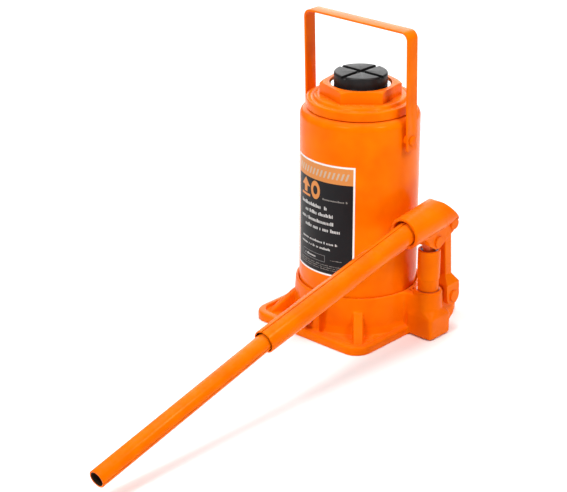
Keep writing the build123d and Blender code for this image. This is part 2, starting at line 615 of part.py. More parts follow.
LINK_WIDTH = 9.2
LINK_HALF = 4.0
EYE_SLOT_HALF = TOP_PIN_RADIUS + 2.4
EYE_HALF_Y = 7.6
FORK_RADIUS = 9.2
FORK_TOP_Z = 44.5
FORK_SHOULDER_Z = 52.5
lean = (PIVOT_TOP[0] - PIVOT_BASE[0]) / (PIVOT_TOP[1] - PIVOT_BASE[1])


def link_axis_y(z):
    """Y of the link's centre line at a height."""
    return PIVOT_BASE[0] + lean * (z - PIVOT_BASE[1])


with BuildPart() as link:
    # bar and its top eye
    with BuildSketch(linkage_plane(PUMP_X - LINK_HALF)):
        Polygon(
            (link_axis_y(FORK_TOP_Z) - LINK_WIDTH / 2, FORK_TOP_Z),
            (link_axis_y(FORK_TOP_Z) + LINK_WIDTH / 2, FORK_TOP_Z),
            (PIVOT_TOP[0] + LINK_WIDTH / 2, PIVOT_TOP[1]),
            (PIVOT_TOP[0] - LINK_WIDTH / 2, PIVOT_TOP[1]),
            align=None,
        )
        with Locations(PIVOT_TOP):
            SlotOverall(2 * EYE_HALF_Y, 2 * 6.4)
    extrude(amount=2 * LINK_HALF)
    # fork that straddles the base lug
    with BuildSketch(linkage_plane(PUMP_X - FORK_FACE)):
        with Locations(PIVOT_BASE):
            Circle(FORK_RADIUS)
        Polygon(
            (PIVOT_BASE[0] - FORK_RADIUS, PIVOT_BASE[1]),
            (PIVOT_BASE[0] + FORK_RADIUS, PIVOT_BASE[1]),
            (link_axis_y(FORK_TOP_Z) + FORK_RADIUS, FORK_TOP_Z),
            (link_axis_y(FORK_SHOULDER_Z) + LINK_WIDTH / 2, FORK_SHOULDER_Z),
            (link_axis_y(FORK_SHOULDER_Z) - LINK_WIDTH / 2, FORK_SHOULDER_Z),
            (link_axis_y(FORK_TOP_Z) - FORK_RADIUS, FORK_TOP_Z),
            align=None,
        )
    extrude(amount=2 * FORK_FACE)
    # shoulders that slope from the fork's faces in to the bar
    for side in (-1, 1):
        with BuildSketch(Plane.XZ.offset(-60)):
            Polygon(
                (PUMP_X + side * LINK_HALF, FORK_SHOULDER_Z + 0.01),
                (PUMP_X + side * (FORK_FACE + 1), FORK_SHOULDER_Z + 0.01),
                (PUMP_X + side * (FORK_FACE + 1), FORK_TOP_Z),
                (PUMP_X + side * FORK_FACE, FORK_TOP_Z),
                align=None,
            )
        extrude(amount=40, mode=Mode.SUBTRACT)
    # gap of the fork
    with BuildSketch(Plane.XZ.offset(-60)):
        with Locations((PUMP_X, (FORK_TOP_Z - 2.8) / 2)):
            Rectangle(2 * (LUG_HALF + 0.4), FORK_TOP_Z - 2.8)
    extrude(amount=40, mode=Mode.SUBTRACT)
    rod_along_x(PIN_RADIUS, 60, 95, *PIVOT_BASE, mode=Mode.SUBTRACT)
    with BuildSketch(linkage_plane(PUMP_X - LINK_HALF)):
        with Locations(PIVOT_TOP):
            SlotOverall(2 * EYE_SLOT_HALF, 2 * (TOP_PIN_RADIUS + 0.6))
    extrude(amount=2 * LINK_HALF, mode=Mode.SUBTRACT)

# ---------------------------------------------------------------------- handle
mouth_centre = (SOCKET_MOUTH[0], SOCKET_MOUTH[1] - OUTER_TUBE_DROP)
outer_start = along_handle(mouth_centre, OUTER_TUBE_SLOPE, -OUTER_TUBE_INSERTED)
outer_end = along_handle(mouth_centre, OUTER_TUBE_SLOPE, OUTER_TUBE_OUTSIDE)
with BuildPart() as handle_outer_tube:
    with Locations(handle_plane(*outer_start, OUTER_TUBE_SLOPE)):
        Cylinder(OUTER_TUBE_RADIUS, OUTER_TUBE_INSERTED + OUTER_TUBE_OUTSIDE, align=UPRIGHT)
        Cylinder(
            OUTER_TUBE_BORE,
            OUTER_TUBE_INSERTED + OUTER_TUBE_OUTSIDE,
            align=UPRIGHT,
            mode=Mode.SUBTRACT,
        )

inner_centre = (outer_end[0], outer_end[1] - INNER_TUBE_DROP)
inner_start = along_handle(inner_centre, INNER_TUBE_SLOPE, -INNER_TUBE_INSERTED)
with BuildPart() as handle_inner_tube:
    with Locations(handle_plane(*inner_start, INNER_TUBE_SLOPE)):
        Cylinder(INNER_TUBE_RADIUS, INNER_TUBE_INSERTED + INNER_TUBE_OUTSIDE, align=UPRIGHT)
        Cylinder(
            INNER_TUBE_BORE,
            INNER_TUBE_INSERTED + INNER_TUBE_OUTSIDE,
            align=UPRIGHT,
            mode=Mode.SUBTRACT,
        )

# ---------------------------------------------------------------------- bail
BAIL_LEG_END = 9.5
BAIL_LEG_CORNER = 2.0
SCREW_HEAD_RADIUS, SCREW_HEAD = 4.4, 1.7
BUSH_RADIUS = 4.8
BAIL_OUTER_X = BAIL_INNER_X + BAIL_STRAP
bail_front = (0, -cos(radians(BAIL_LEAN)), -sin(radians(BAIL_LEAN)))
bail_plane = Plane(origin=(0, 0, BAIL_PIVOT_Z), x_dir=(1, 0, 0), z_dir=bail_front)
bail_side_plane = Plane(
    origin=(-BAIL_OUTER_X - 1, 0, BAIL_PIVOT_Z),
    x_dir=(0, cos(radians(BAIL_LEAN)), sin(radians(BAIL_LEAN))),
    z_dir=(1, 0, 0),
)
bail_height = BAIL_TOP - BAIL_PIVOT_Z
with BuildPart() as bail:
    # strap bent to a tall U, seen from the front
    with BuildSketch(bail_plane.offset(-BAIL_WIDTH / 2)):
        with Locations((0, 0)):
            RectangleRounded(2 * BAIL_OUTER_X, 2 * bail_height, BAIL_CORNER)
            RectangleRounded(
                2 * BAIL_INNER_X,
                2 * (bail_height - BAIL_STRAP),
                BAIL_CORNER - BAIL_STRAP,
                mode=Mode.SUBTRACT,
            )
    extrude(amount=BAIL_WIDTH)
    # square leg ends with broken corners, seen from the side
    leg_outline = bail_height + 2 * BAIL_LEG_END
    with BuildSketch(bail_side_plane):
        with Locations((0, leg_outline / 2 - BAIL_LEG_END)):
            RectangleRounded(BAIL_WIDTH, leg_outline, BAIL_LEG_CORNER)
    extrude(amount=2 * BAIL_OUTER_X + 2, mode=Mode.INTERSECT)
    rod_along_x(BAIL_SCREW_RADIUS + RUNNING, -70, 70, 0, BAIL_PIVOT_Z, mode=Mode.SUBTRACT)

with BuildPart() as bail_bushes:
    for side in (-1, 1):
        start, end = sorted((side * (TANK_RADIUS - 1.5), side * (BAIL_INNER_X - 0.3)))
        rod_along_x(BUSH_RADIUS, start, end, 0, BAIL_PIVOT_Z)
    disc(TANK_RADIUS, BAIL_PIVOT_Z - 20, BAIL_PIVOT_Z + 20, mode=Mode.SUBTRACT)
    rod_along_x(BAIL_SCREW_RADIUS, -70, 70, 0, BAIL_PIVOT_Z, mode=Mode.SUBTRACT)

with BuildPart() as bail_screws:
    for side in (-1, 1):
        inner_end = side * (TANK_RADIUS + 0.1)
        face = side * (BAIL_OUTER_X + 0.3)
        top = side * (BAIL_OUTER_X + 0.3 + SCREW_HEAD)
        rod_along_x(BAIL_SCREW_RADIUS, *sorted((inner_end, face)), 0, BAIL_PIVOT_Z)
        rod_along_x(SCREW_HEAD_RADIUS, *sorted((face, top)), 0, BAIL_PIVOT_Z)
    chamfer(
        bail_screws.edges().filter_by(GeomType.CIRCLE).group_by(Axis.X)[0]
        + bail_screws.edges().filter_by(GeomType.CIRCLE).group_by(Axis.X)[-1],
        length=0.7,
    )

# ---------------------------------------------------------------------- valves
ball_rise = sqrt(BALL_RADIUS**2 - PASSAGE**2)
with BuildPart() as inlet_ball:
    with Locations((PUMP_X, PUMP_Y, INLET_SEAT_Z + ball_rise)):
        Sphere(BALL_RADIUS)

with BuildPart() as outlet_ball:
    with Locations((OUTLET_X, PUMP_Y, OUTLET_SEAT_Z + ball_rise)):
        Sphere(BALL_RADIUS)

OUTLET_SPRING_Z = OUTLET_SEAT_Z + ball_rise + BALL_RADIUS + 0.4
with BuildPart() as outlet_spring:
    spring_foot = (OUTLET_X, PUMP_Y, OUTLET_SPRING_Z)
    coil_spring(2.2, 0.4, 1.7, OUTLET_PLUG_Z - OUTLET_SPRING_Z - 0.5, spring_foot, (0, 0, 1))

with BuildPart() as outlet_plug:
    disc(5.0, OUTLET_PLUG_Z, BOSS_TOP, (OUTLET_X, PUMP_Y))
    with BuildSketch(Plane.XY.offset(BOSS_TOP)):
        with Locations((OUTLET_X, PUMP_Y)):
            RegularPolygon(2.9, 6)
    extrude(amount=-3, mode=Mode.SUBTRACT)

RELIEF_BALL = 1.6
RELIEF_SCREW_LENGTH = 3.0
relief_ball_y = RELIEF_SEAT_Y + sqrt(RELIEF_BALL**2 - 1.0)
with BuildPart() as overload_ball:
    with Locations((RELIEF_X, relief_ball_y, RELIEF_Z)):
        Sphere(RELIEF_BALL)

relief_screw_y = BLOCK_MAX_Y - 0.4 - RELIEF_SCREW_LENGTH
relief_spring_y = relief_ball_y + RELIEF_BALL + 0.4
with BuildPart() as overload_spring:
    spring_foot = (RELIEF_X, relief_spring_y, RELIEF_Z)
    coil_spring(1.5, 0.3, 0.7, relief_screw_y - relief_spring_y - 0.4, spring_foot, (0, 1, 0))

with BuildPart() as overload_screw:
    rod_along_y(3.0, relief_screw_y, relief_screw_y + RELIEF_SCREW_LENGTH, RELIEF_X, RELIEF_Z)
    with BuildSketch(Plane.XZ.offset(-relief_screw_y - RELIEF_SCREW_LENGTH)):
        with Locations((RELIEF_X, RELIEF_Z)):
            RegularPolygon(1.7, 6)
    extrude(amount=1.5, mode=Mode.SUBTRACT)

release_ball_y = RELEASE_SEAT_Y - ball_rise
with BuildPart() as release_ball:
    with Locations((VALVE_X, release_ball_y, VALVE_Z)):
        Sphere(BALL_RADIUS)

RELEASE_RING_Y = -60.0
RELEASE_HEAD_RADIUS = 6.8
with BuildPart() as release_valve:
    rod_along_y(6.0, VALVE_FACE_Y - 1, RELEASE_BORE_END_Y - 2, VALVE_X, VALVE_Z)
    rod_along_y(2.6, RELEASE_BORE_END_Y - 2, release_ball_y - BALL_RADIUS - 0.3, VALVE_X, VALVE_Z)
    groove_ends = (RELEASE_RING_Y - O_RING_WIRE, RELEASE_RING_Y + O_RING_WIRE)
    rod_along_y(7.0, *groove_ends, VALVE_X, VALVE_Z, mode=Mode.SUBTRACT)
    rod_along_y(4.0, *groove_ends, VALVE_X, VALVE_Z)
    rod_along_y(RELEASE_HEAD_RADIUS, VALVE_FACE_Y - 8, VALVE_FACE_Y - 1, VALVE_X, VALVE_Z)
    chamfer(release_valve.edges().group_by(Axis.Y)[0], length=0.8)
    with Locations((VALVE_X, VALVE_FACE_Y - 6.5, VALVE_Z)):
        Box(3.0, 5.0, 30.0, mode=Mode.SUBTRACT)

with BuildPart() as release_o_ring:
    with Locations(Plane(origin=(VALVE_X, RELEASE_RING_Y, VALVE_Z), z_dir=(0, 1, 0))):
        Torus(6.0 - O_RING_WIRE, O_RING_WIRE)

with BuildPart() as suction_filter:
    disc(5.0, OIL_FLOOR, OIL_FLOOR + 1.2, (SUCTION_X, PUMP_Y))

# ---------------------------------------------------------------------- label and write each piece
pieces = {
    "base_casting": base_casting,
    "tank_gasket": tank_gasket,
    "reservoir_tank": reservoir_tank,
    "filler_plug": filler_plug,
    "label": label,
    "cylinder_gasket": cylinder_gasket,
    "pressure_cylinder": pressure_cylinder,
    "tank_nut": tank_nut,
    "nut_seal": nut_seal,
    "ram_wiper": ram_wiper,
    "ram": ram,
    "ram_cup_retainer": ram_cup_retainer,
    "ram_cup": ram_cup,
    "ram_backup_ring": ram_backup_ring,
    "extension_screw": extension_screw,
    "extension_stop_ring": extension_stop_ring,
    "saddle": saddle,
    "pump_gasket": pump_gasket,
    "pump_cylinder": pump_cylinder,
    "pump_washer": pump_washer,
    "plunger_wiper": plunger_wiper,
    "pump_plunger": pump_plunger,
    "plunger_o_ring": plunger_o_ring,
    "handle_socket": handle_socket,
    "plunger_pin": plunger_pin,
    "link_top_pin": link_top_pin,
    "link_base_pin": link_base_pin,
    "socket_pin_clips": socket_pin_clips,
    "base_pin_clip": base_pin_clip,
    "link": link,
    "handle_outer_tube": handle_outer_tube,
    "handle_inner_tube": handle_inner_tube,
    "bail": bail,
    "bail_bushes": bail_bushes,
    "bail_screws": bail_screws,
    "inlet_ball": inlet_ball,
    "outlet_ball": outlet_ball,
    "outlet_spring": outlet_spring,
    "outlet_plug": outlet_plug,
    "overload_ball": overload_ball,
    "overload_spring": overload_spring,
    "overload_screw": overload_screw,
    "release_ball": release_ball,
    "release_valve": release_valve,
    "release_o_ring": release_o_ring,
    "suction_filter": suction_filter,
}
os.makedirs("parts", exist_ok=True)
for node, piece in pieces.items():
    piece.part.label = node
    export_step(piece.part, f"parts/{node}.step")
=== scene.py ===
"""Hydraulic bottle jack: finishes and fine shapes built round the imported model, in metres."""

from __future__ import annotations

import json
import logging
import math
from contextlib import contextmanager
from dataclasses import astuple, dataclass
from enum import Enum
from itertools import pairwise
from typing import Any, Callable, Iterator, Sequence

import bmesh
import bpy
from mathutils import Matrix, Vector

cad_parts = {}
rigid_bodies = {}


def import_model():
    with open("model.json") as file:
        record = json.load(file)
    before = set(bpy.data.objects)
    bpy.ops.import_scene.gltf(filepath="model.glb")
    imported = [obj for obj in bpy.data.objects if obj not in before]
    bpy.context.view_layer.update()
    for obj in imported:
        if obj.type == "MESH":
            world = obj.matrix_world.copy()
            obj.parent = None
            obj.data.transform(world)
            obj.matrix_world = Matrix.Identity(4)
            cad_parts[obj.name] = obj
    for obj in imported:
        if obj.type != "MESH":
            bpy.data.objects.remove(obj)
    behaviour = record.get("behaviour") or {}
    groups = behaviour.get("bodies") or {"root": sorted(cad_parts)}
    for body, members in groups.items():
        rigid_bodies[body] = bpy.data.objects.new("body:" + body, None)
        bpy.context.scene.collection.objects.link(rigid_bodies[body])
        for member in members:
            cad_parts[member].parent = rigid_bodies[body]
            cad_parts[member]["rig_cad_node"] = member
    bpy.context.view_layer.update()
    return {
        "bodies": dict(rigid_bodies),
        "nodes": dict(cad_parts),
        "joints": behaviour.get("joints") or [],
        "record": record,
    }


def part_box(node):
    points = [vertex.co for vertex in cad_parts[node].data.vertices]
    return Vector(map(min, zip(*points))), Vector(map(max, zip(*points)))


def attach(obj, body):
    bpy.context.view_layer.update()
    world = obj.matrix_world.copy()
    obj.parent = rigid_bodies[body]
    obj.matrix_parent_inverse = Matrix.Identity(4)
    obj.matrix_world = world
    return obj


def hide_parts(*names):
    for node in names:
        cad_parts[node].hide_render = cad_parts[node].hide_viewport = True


LOG = logging.getLogger("bottle_jack")
MM = 0.001
MERGE = 2e-6
TINY = 1e-6
ORANGE = (0.92, 0.172, 0.0)
ORANGE_DEEP = (0.85, 0.134, 0.0)
Profile = list[tuple[float, float]]


class Body(str, Enum):
    """The moving bodies that pieces ride on."""

    TANK = "base_and_tank"
    SCREW = "screw_and_saddle"
    SOCKET = "socket"
    LINK = "link"
    UPPER_HANDLE = "handle_upper"
    LOWER_HANDLE = "handle_lower"
    BAIL = "bail"
    FILLER_PLUG = "filler_plug"


class Slot(str, Enum):
    """The record's material slots."""

    CAST_PAINT = "orange_paint_cast"
    STEEL_PAINT = "orange_paint_steel"
    BLACK_STEEL = "black_steel"
    CHROME = "chrome_steel"
    BRIGHT = "bright_steel"
    ZINC = "zinc_steel"
    SPRING = "spring_steel"
    RUBBER = "seal_rubber"
    URETHANE = "seal_urethane"
    COPPER = "gasket_copper"
    MESH = "filter_mesh"
    LABEL = "label_vinyl"


class Grain(Enum):
    """How a metal surface was finished, as the stretch of its grain along X, Y and Z."""

    TURNED = (60.0, 60.0, 2600.0)
    EVEN = (900.0, 900.0, 900.0)


# ------------------------------------------------------------------ bench: operators for every piece
class Bench:
    """Operator calls that every builder shares, each with the selection cleared first."""

    @staticmethod
    def clear() -> None:
        """Deselect every object."""
        bpy.ops.object.select_all(action="DESELECT")

    @staticmethod
    def take(piece: bpy.types.Object) -> None:
        """Make a piece the only selected object and the active one."""
        Bench.clear()
        piece.select_set(True)
        bpy.context.view_layer.objects.active = piece

    @staticmethod
    def named(name: str) -> bpy.types.Object:
        """Name the primitive that was just added and return it."""
        piece = bpy.context.active_object
        piece.name = name
        piece.data.name = name
        return piece

    @staticmethod
    @contextmanager
    def editing(piece: bpy.types.Object) -> Iterator[None]:
        """Hold a piece in edit mode for the length of a with block.

        Args:
            piece: The mesh object to edit.
        """
        Bench.take(piece)
        bpy.ops.object.mode_set(mode="EDIT")
        try:
            yield
        finally:
            bpy.ops.object.mode_set(mode="OBJECT")

    @staticmethod
    def pick(piece: bpy.types.Object, kind: str, test: Callable[[Vector], bool]) -> int:
        """Select the elements in edit mode whose middle passes a test, and nothing else.

        Args:
            piece: The object being edited.
            kind: "verts", "edges" or "faces".
            test: Says whether an element with that middle is wanted.

        Returns:
            How many elements were selected.
        """
        mode = {"verts": "VERT", "edges": "EDGE", "faces": "FACE"}[kind]
        bpy.ops.mesh.select_mode(type=mode)
        bpy.ops.mesh.select_all(action="DESELECT")
        mesh = bmesh.from_edit_mesh(piece.data)
        count = 0
        for element in getattr(mesh, kind):
            corners = [element.co] if kind == "verts" else [v.co for v in element.verts]
            if test(sum(corners, Vector()) / len(corners)):
                element.select_set(True)
                count += 1
        mesh.select_flush_mode()
        bmesh.update_edit_mesh(piece.data)
        return count

    @staticmethod
    def modify(piece: bpy.types.Object, kind: str, **settings: Any) -> None:
        """Add a modifier with its settings and apply it.

        Args:
            piece: The object to change.
            kind: The modifier's type.
            **settings: Values for the modifier's properties.
        """
        Bench.take(piece)
        modifier = piece.modifiers.new(kind.lower(), kind)
        for key, value in settings.items():
            setattr(modifier, key, value)
        bpy.ops.object.modifier_apply(modifier=modifier.name)

    @staticmethod
    def break_edges(piece: bpy.types.Object, width: float, angle: float) -> None:
        """Round the edges of a piece that are sharper than an angle in degrees."""
        Bench.modify(
            piece,
            "BEVEL",
            width=width,
            segments=3,
            limit_method="ANGLE",
            angle_limit=math.radians(angle),
            use_clamp_overlap=True,
        )

    @staticmethod
    def place(piece: bpy.types.Object, frame: Matrix) -> bpy.types.Object:
        """Put a piece at a frame and apply it, so that its place is in its mesh.

        Args:
            piece: The object, built round the world origin along +Z.
            frame: Where its origin and axes go.

        Returns:
            The same object.
        """
        Bench.take(piece)
        piece.matrix_world = frame
        bpy.context.view_layer.update()
        bpy.ops.object.transform_apply(location=True, rotation=True, scale=True)
        return piece

    @staticmethod
    def finish(piece: bpy.types.Object, angle: float = 35.0) -> bpy.types.Object:
        """Merge doubles, turn the faces outwards and shade smooth below an angle in degrees."""
        with Bench.editing(piece):
            bpy.ops.mesh.select_all(action="SELECT")
            bpy.ops.mesh.remove_doubles(threshold=MERGE)
            bpy.ops.mesh.normals_make_consistent(inside=False)
        Bench.take(piece)
        bpy.ops.object.shade_smooth_by_angle(angle=math.radians(angle))
        return piece

    @staticmethod
    def copy(piece: bpy.types.Object, name: str) -> bpy.types.Object:
        """Return a copy of a piece with its own mesh."""
        twin = bpy.data.objects.new(name, piece.data.copy())
        twin.data.name = name
        bpy.context.scene.collection.objects.link(twin)
        return twin

    @staticmethod
    def join(first: bpy.types.Object, *others: bpy.types.Object) -> bpy.types.Object:
        """Join pieces into the first one and return it."""
        Bench.take(first)
        for other in others:
            other.select_set(True)
        bpy.ops.object.join()
        return first

    @staticmethod
    def cut(piece: bpy.types.Object, tool: bpy.types.Object, keep_common: bool = False) -> None:
        """Cut a piece with a closed tool, or keep what they share, and remove the tool."""
        operation = "INTERSECT" if keep_common else "DIFFERENCE"
        Bench.modify(piece, "BOOLEAN", operation=operation, object=tool, solver="EXACT")
        bpy.data.objects.remove(tool)


def axis_frame(origin: Sequence[float], along: Sequence[float], towards: Sequence[float]) -> Matrix:
    """Frame whose +Z lies along one direction and whose +X leans towards another.

    Args:
        origin: Where the frame stands.
        along: Direction of its +Z.
        towards: Direction that its +X is nearest to.

    Returns:
        The frame as a 4 by 4 matrix.
    """
    z_axis = Vector(along).normalized()
    x_axis = Vector(towards)
    x_axis = (x_axis - x_axis.dot(z_axis) * z_axis).normalized()
    y_axis = z_axis.cross(x_axis)
    turned_axes = Matrix((x_axis, y_axis, z_axis)).transposed()
    return Matrix.Translation(Vector(origin)) @ turned_axes.to_4x4()


def rounded_profile(points: Sequence[tuple[float, float, float]], steps: int = 5) -> Profile:
    """Round the corners of an open line of (radius, height, corner) points.

    Args:
        points: The corners, each with the size of its rounding or 0.
        steps: Segments in each rounding.

    Returns:
        The line as (radius, height) points.
    """
    line: Profile = [points[0][:2]]
    for before, corner, after in zip(points, points[1:], points[2:]):
        middle = Vector(corner[:2])
        back = Vector(before[:2]) - middle
        ahead = Vector(after[:2]) - middle
        size = min(corner[2], 0.49 * back.length, 0.49 * ahead.length)
        if size <= 0.0:
            line.append(corner[:2])
            continue
        start = middle + back.normalized() * size
        end = middle + ahead.normalized() * size
        for step in range(steps + 1):
            share = step / steps
            first = start.lerp(middle, share)
            second = middle.lerp(end, share)
            point = first.lerp(second, share)
            line.append((point.x, point.y))
    line.append(points[-1][:2])
    return line


def turned(name: str, profile: Profile, frame: Matrix, steps: int = 96) -> bpy.types.Object:
    """Turn a closed solid by extruding a circle along a profile.

    Args:
        name: The piece's name.
        profile: (radius, height) points in metres. If the last is the first again, the solid is a ring,
            and otherwise both ends are closed by flat faces.
        frame: Where the profile's origin and axis go.
        steps: Segments round the axis.

    Returns:
        The turned object.
    """
    Bench.clear()
    radius, height = profile[0]
    bpy.ops.mesh.primitive_circle_add(
        vertices=steps, radius=radius, fill_type="NOTHING", location=(0.0, 0.0, height)
    )
    piece = Bench.named(name)
    bpy.ops.object.transform_apply(location=True, rotation=True, scale=True)
    is_ring = profile[0] == profile[-1]
    with Bench.editing(piece):
        bpy.ops.mesh.select_mode(type="EDGE")
        bpy.ops.mesh.select_all(action="SELECT")
        if not is_ring:
            bpy.ops.mesh.edge_face_add()
        for (last_radius, last_height), (radius, height) in pairwise(profile):
            rise = (0.0, 0.0, height - last_height)
            bpy.ops.mesh.extrude_edges_move(TRANSFORM_OT_translate={"value": rise})
            ratio = radius / last_radius
            bpy.ops.transform.resize(value=(ratio, ratio, 1.0), center_override=(0.0, 0.0, height))
        if not is_ring:
            bpy.ops.mesh.edge_face_add()
    Bench.finish(piece)
    return Bench.place(piece, frame)


def block(name: str, centre: Sequence[float], size: Sequence[float]) -> bpy.types.Object:
    """Add a box that serves as a cutting tool or as a blank.

    Args:
        name: The box's name.
        centre: Its middle.
        size: Its three sides.

    Returns:
        The box.
    """
    Bench.clear()
    bpy.ops.mesh.primitive_cube_add(size=1.0, location=centre)
    piece = Bench.named(name)
    piece.scale = size
    bpy.ops.object.transform_apply(location=True, rotation=True, scale=True)
    return piece


def cast_skin(name: str, node: bpy.types.Object, voxel: float, rounds: int) -> bpy.types.Object:
    """Softened skin of a casting: its shape remeshed to an even grain, with every edge worn round.

    Args:
        name: The new piece's name.
        node: The CAD node whose shape is taken.
        voxel: Size of the even grain.
        rounds: How many times the skin is relaxed.

    Returns:
        The skin as a new object.
    """
    piece = Bench.copy(node, name)
    piece.data.materials.clear()
    with Bench.editing(piece):
        bpy.ops.mesh.select_all(action="SELECT")
        bpy.ops.mesh.remove_doubles(threshold=MERGE)
    Bench.modify(piece, "REMESH", mode="VOXEL", voxel_size=voxel)
    Bench.modify(piece, "SMOOTH", factor=0.5, iterations=rounds)
    Bench.take(piece)
    bpy.ops.object.shade_smooth()
    return piece


# ------------------------------------------------------------------ node trees
Socket = bpy.types.NodeSocket


class Wiring:
    """A node tree with short calls that add nodes and link them."""

    def __init__(self, tree: bpy.types.NodeTree) -> None:
        """Hold a tree and remove what is in it."""
        self.tree = tree
        tree.nodes.clear()

    def node(self, kind: str, settings: dict[str, Any] | None = None, **inputs: Any) -> bpy.types.Node:
        """Add a node.

        Args:
            kind: The node's type without its ShaderNode prefix.
            settings: Values for the node's own properties.
            **inputs: Values or sockets for its inputs, by name with _ for spaces.

        Returns:
            The node.
        """
        made = self.tree.nodes.new("ShaderNode" + kind)
        for key, value in (settings or {}).items():
            setattr(made, key, value)
        for key, value in inputs.items():
            self.feed(made.inputs[key.replace("_", " ")], value)
        return made

    def feed(self, target: Socket, value: Any) -> None:
        """Link a socket to an input, or set the input's own value."""
        if isinstance(value, bpy.types.NodeSocket):
            self.tree.links.new(value, target)
        elif isinstance(value, tuple) and len(value) == 3 and target.type == "RGBA":
            target.default_value = (*value, 1.0)
        else:
            target.default_value = value

    def math(self, operation: str, *values: Any, clamp: bool = False) -> Socket:
        """Add a Math node on one to three values and return its output."""
        made = self.node("Math", {"operation": operation, "use_clamp": clamp})
        for target, value in zip(made.inputs, values):
            self.feed(target, value)
        return made.outputs[0]

    def vector(self, operation: str, *values: Any) -> bpy.types.Node:
        """Add a Vector Math node on one or two values and return it."""
        made = self.node("VectorMath", {"operation": operation})
        for target, value in zip(made.inputs, values):
            self.feed(target, value)
        return made

    def surface(self, **inputs: Any) -> bpy.types.Node:
        """Add the surface shader, linked to the material's output, and return it."""
        shader = self.node("BsdfPrincipled", **inputs)
        output = self.node("OutputMaterial")
        self.tree.links.new(shader.outputs["BSDF"], output.inputs["Surface"])
        return shader

    def mix(self, share: Any, first: Any, second: Any) -> Socket:
        """Mix two colours and return the colour."""
        made = self.node("Mix", {"data_type": "RGBA"})
        self.feed(made.inputs["Factor"], share)
        colours = [socket for socket in made.inputs if socket.type == "RGBA"]
        self.feed(colours[0], first)
        self.feed(colours[1], second)
        return next(socket for socket in made.outputs if socket.type == "RGBA")

    def ranged(self, value: Any, low: float, high: float, to_low: float, to_high: float) -> Socket:
        """Map a value from one range to another, clamped, and return it."""
        made = self.node("MapRange")
        for target, number in zip(made.inputs, (value, low, high, to_low, to_high)):
            self.feed(target, number)
        return made.outputs[0]

    def noise(self, place: Any, scale: Any, detail: float = 2.0, roughness: float = 0.5) -> Socket:
        """Add a noise texture and return its value."""
        made = self.node("TexNoise", Vector=place, Scale=scale, Detail=detail, Roughness=roughness)
        return made.outputs[0]

    def group(self, tree: bpy.types.NodeTree, **inputs: Any) -> bpy.types.Node:
        """Place a shared node group with its own input values and return its node."""
        made = self.tree.nodes.new("ShaderNodeGroup")
        made.node_tree = tree
        for key, value in inputs.items():
            self.feed(made.inputs[key.replace("_", " ")], value)
        return made


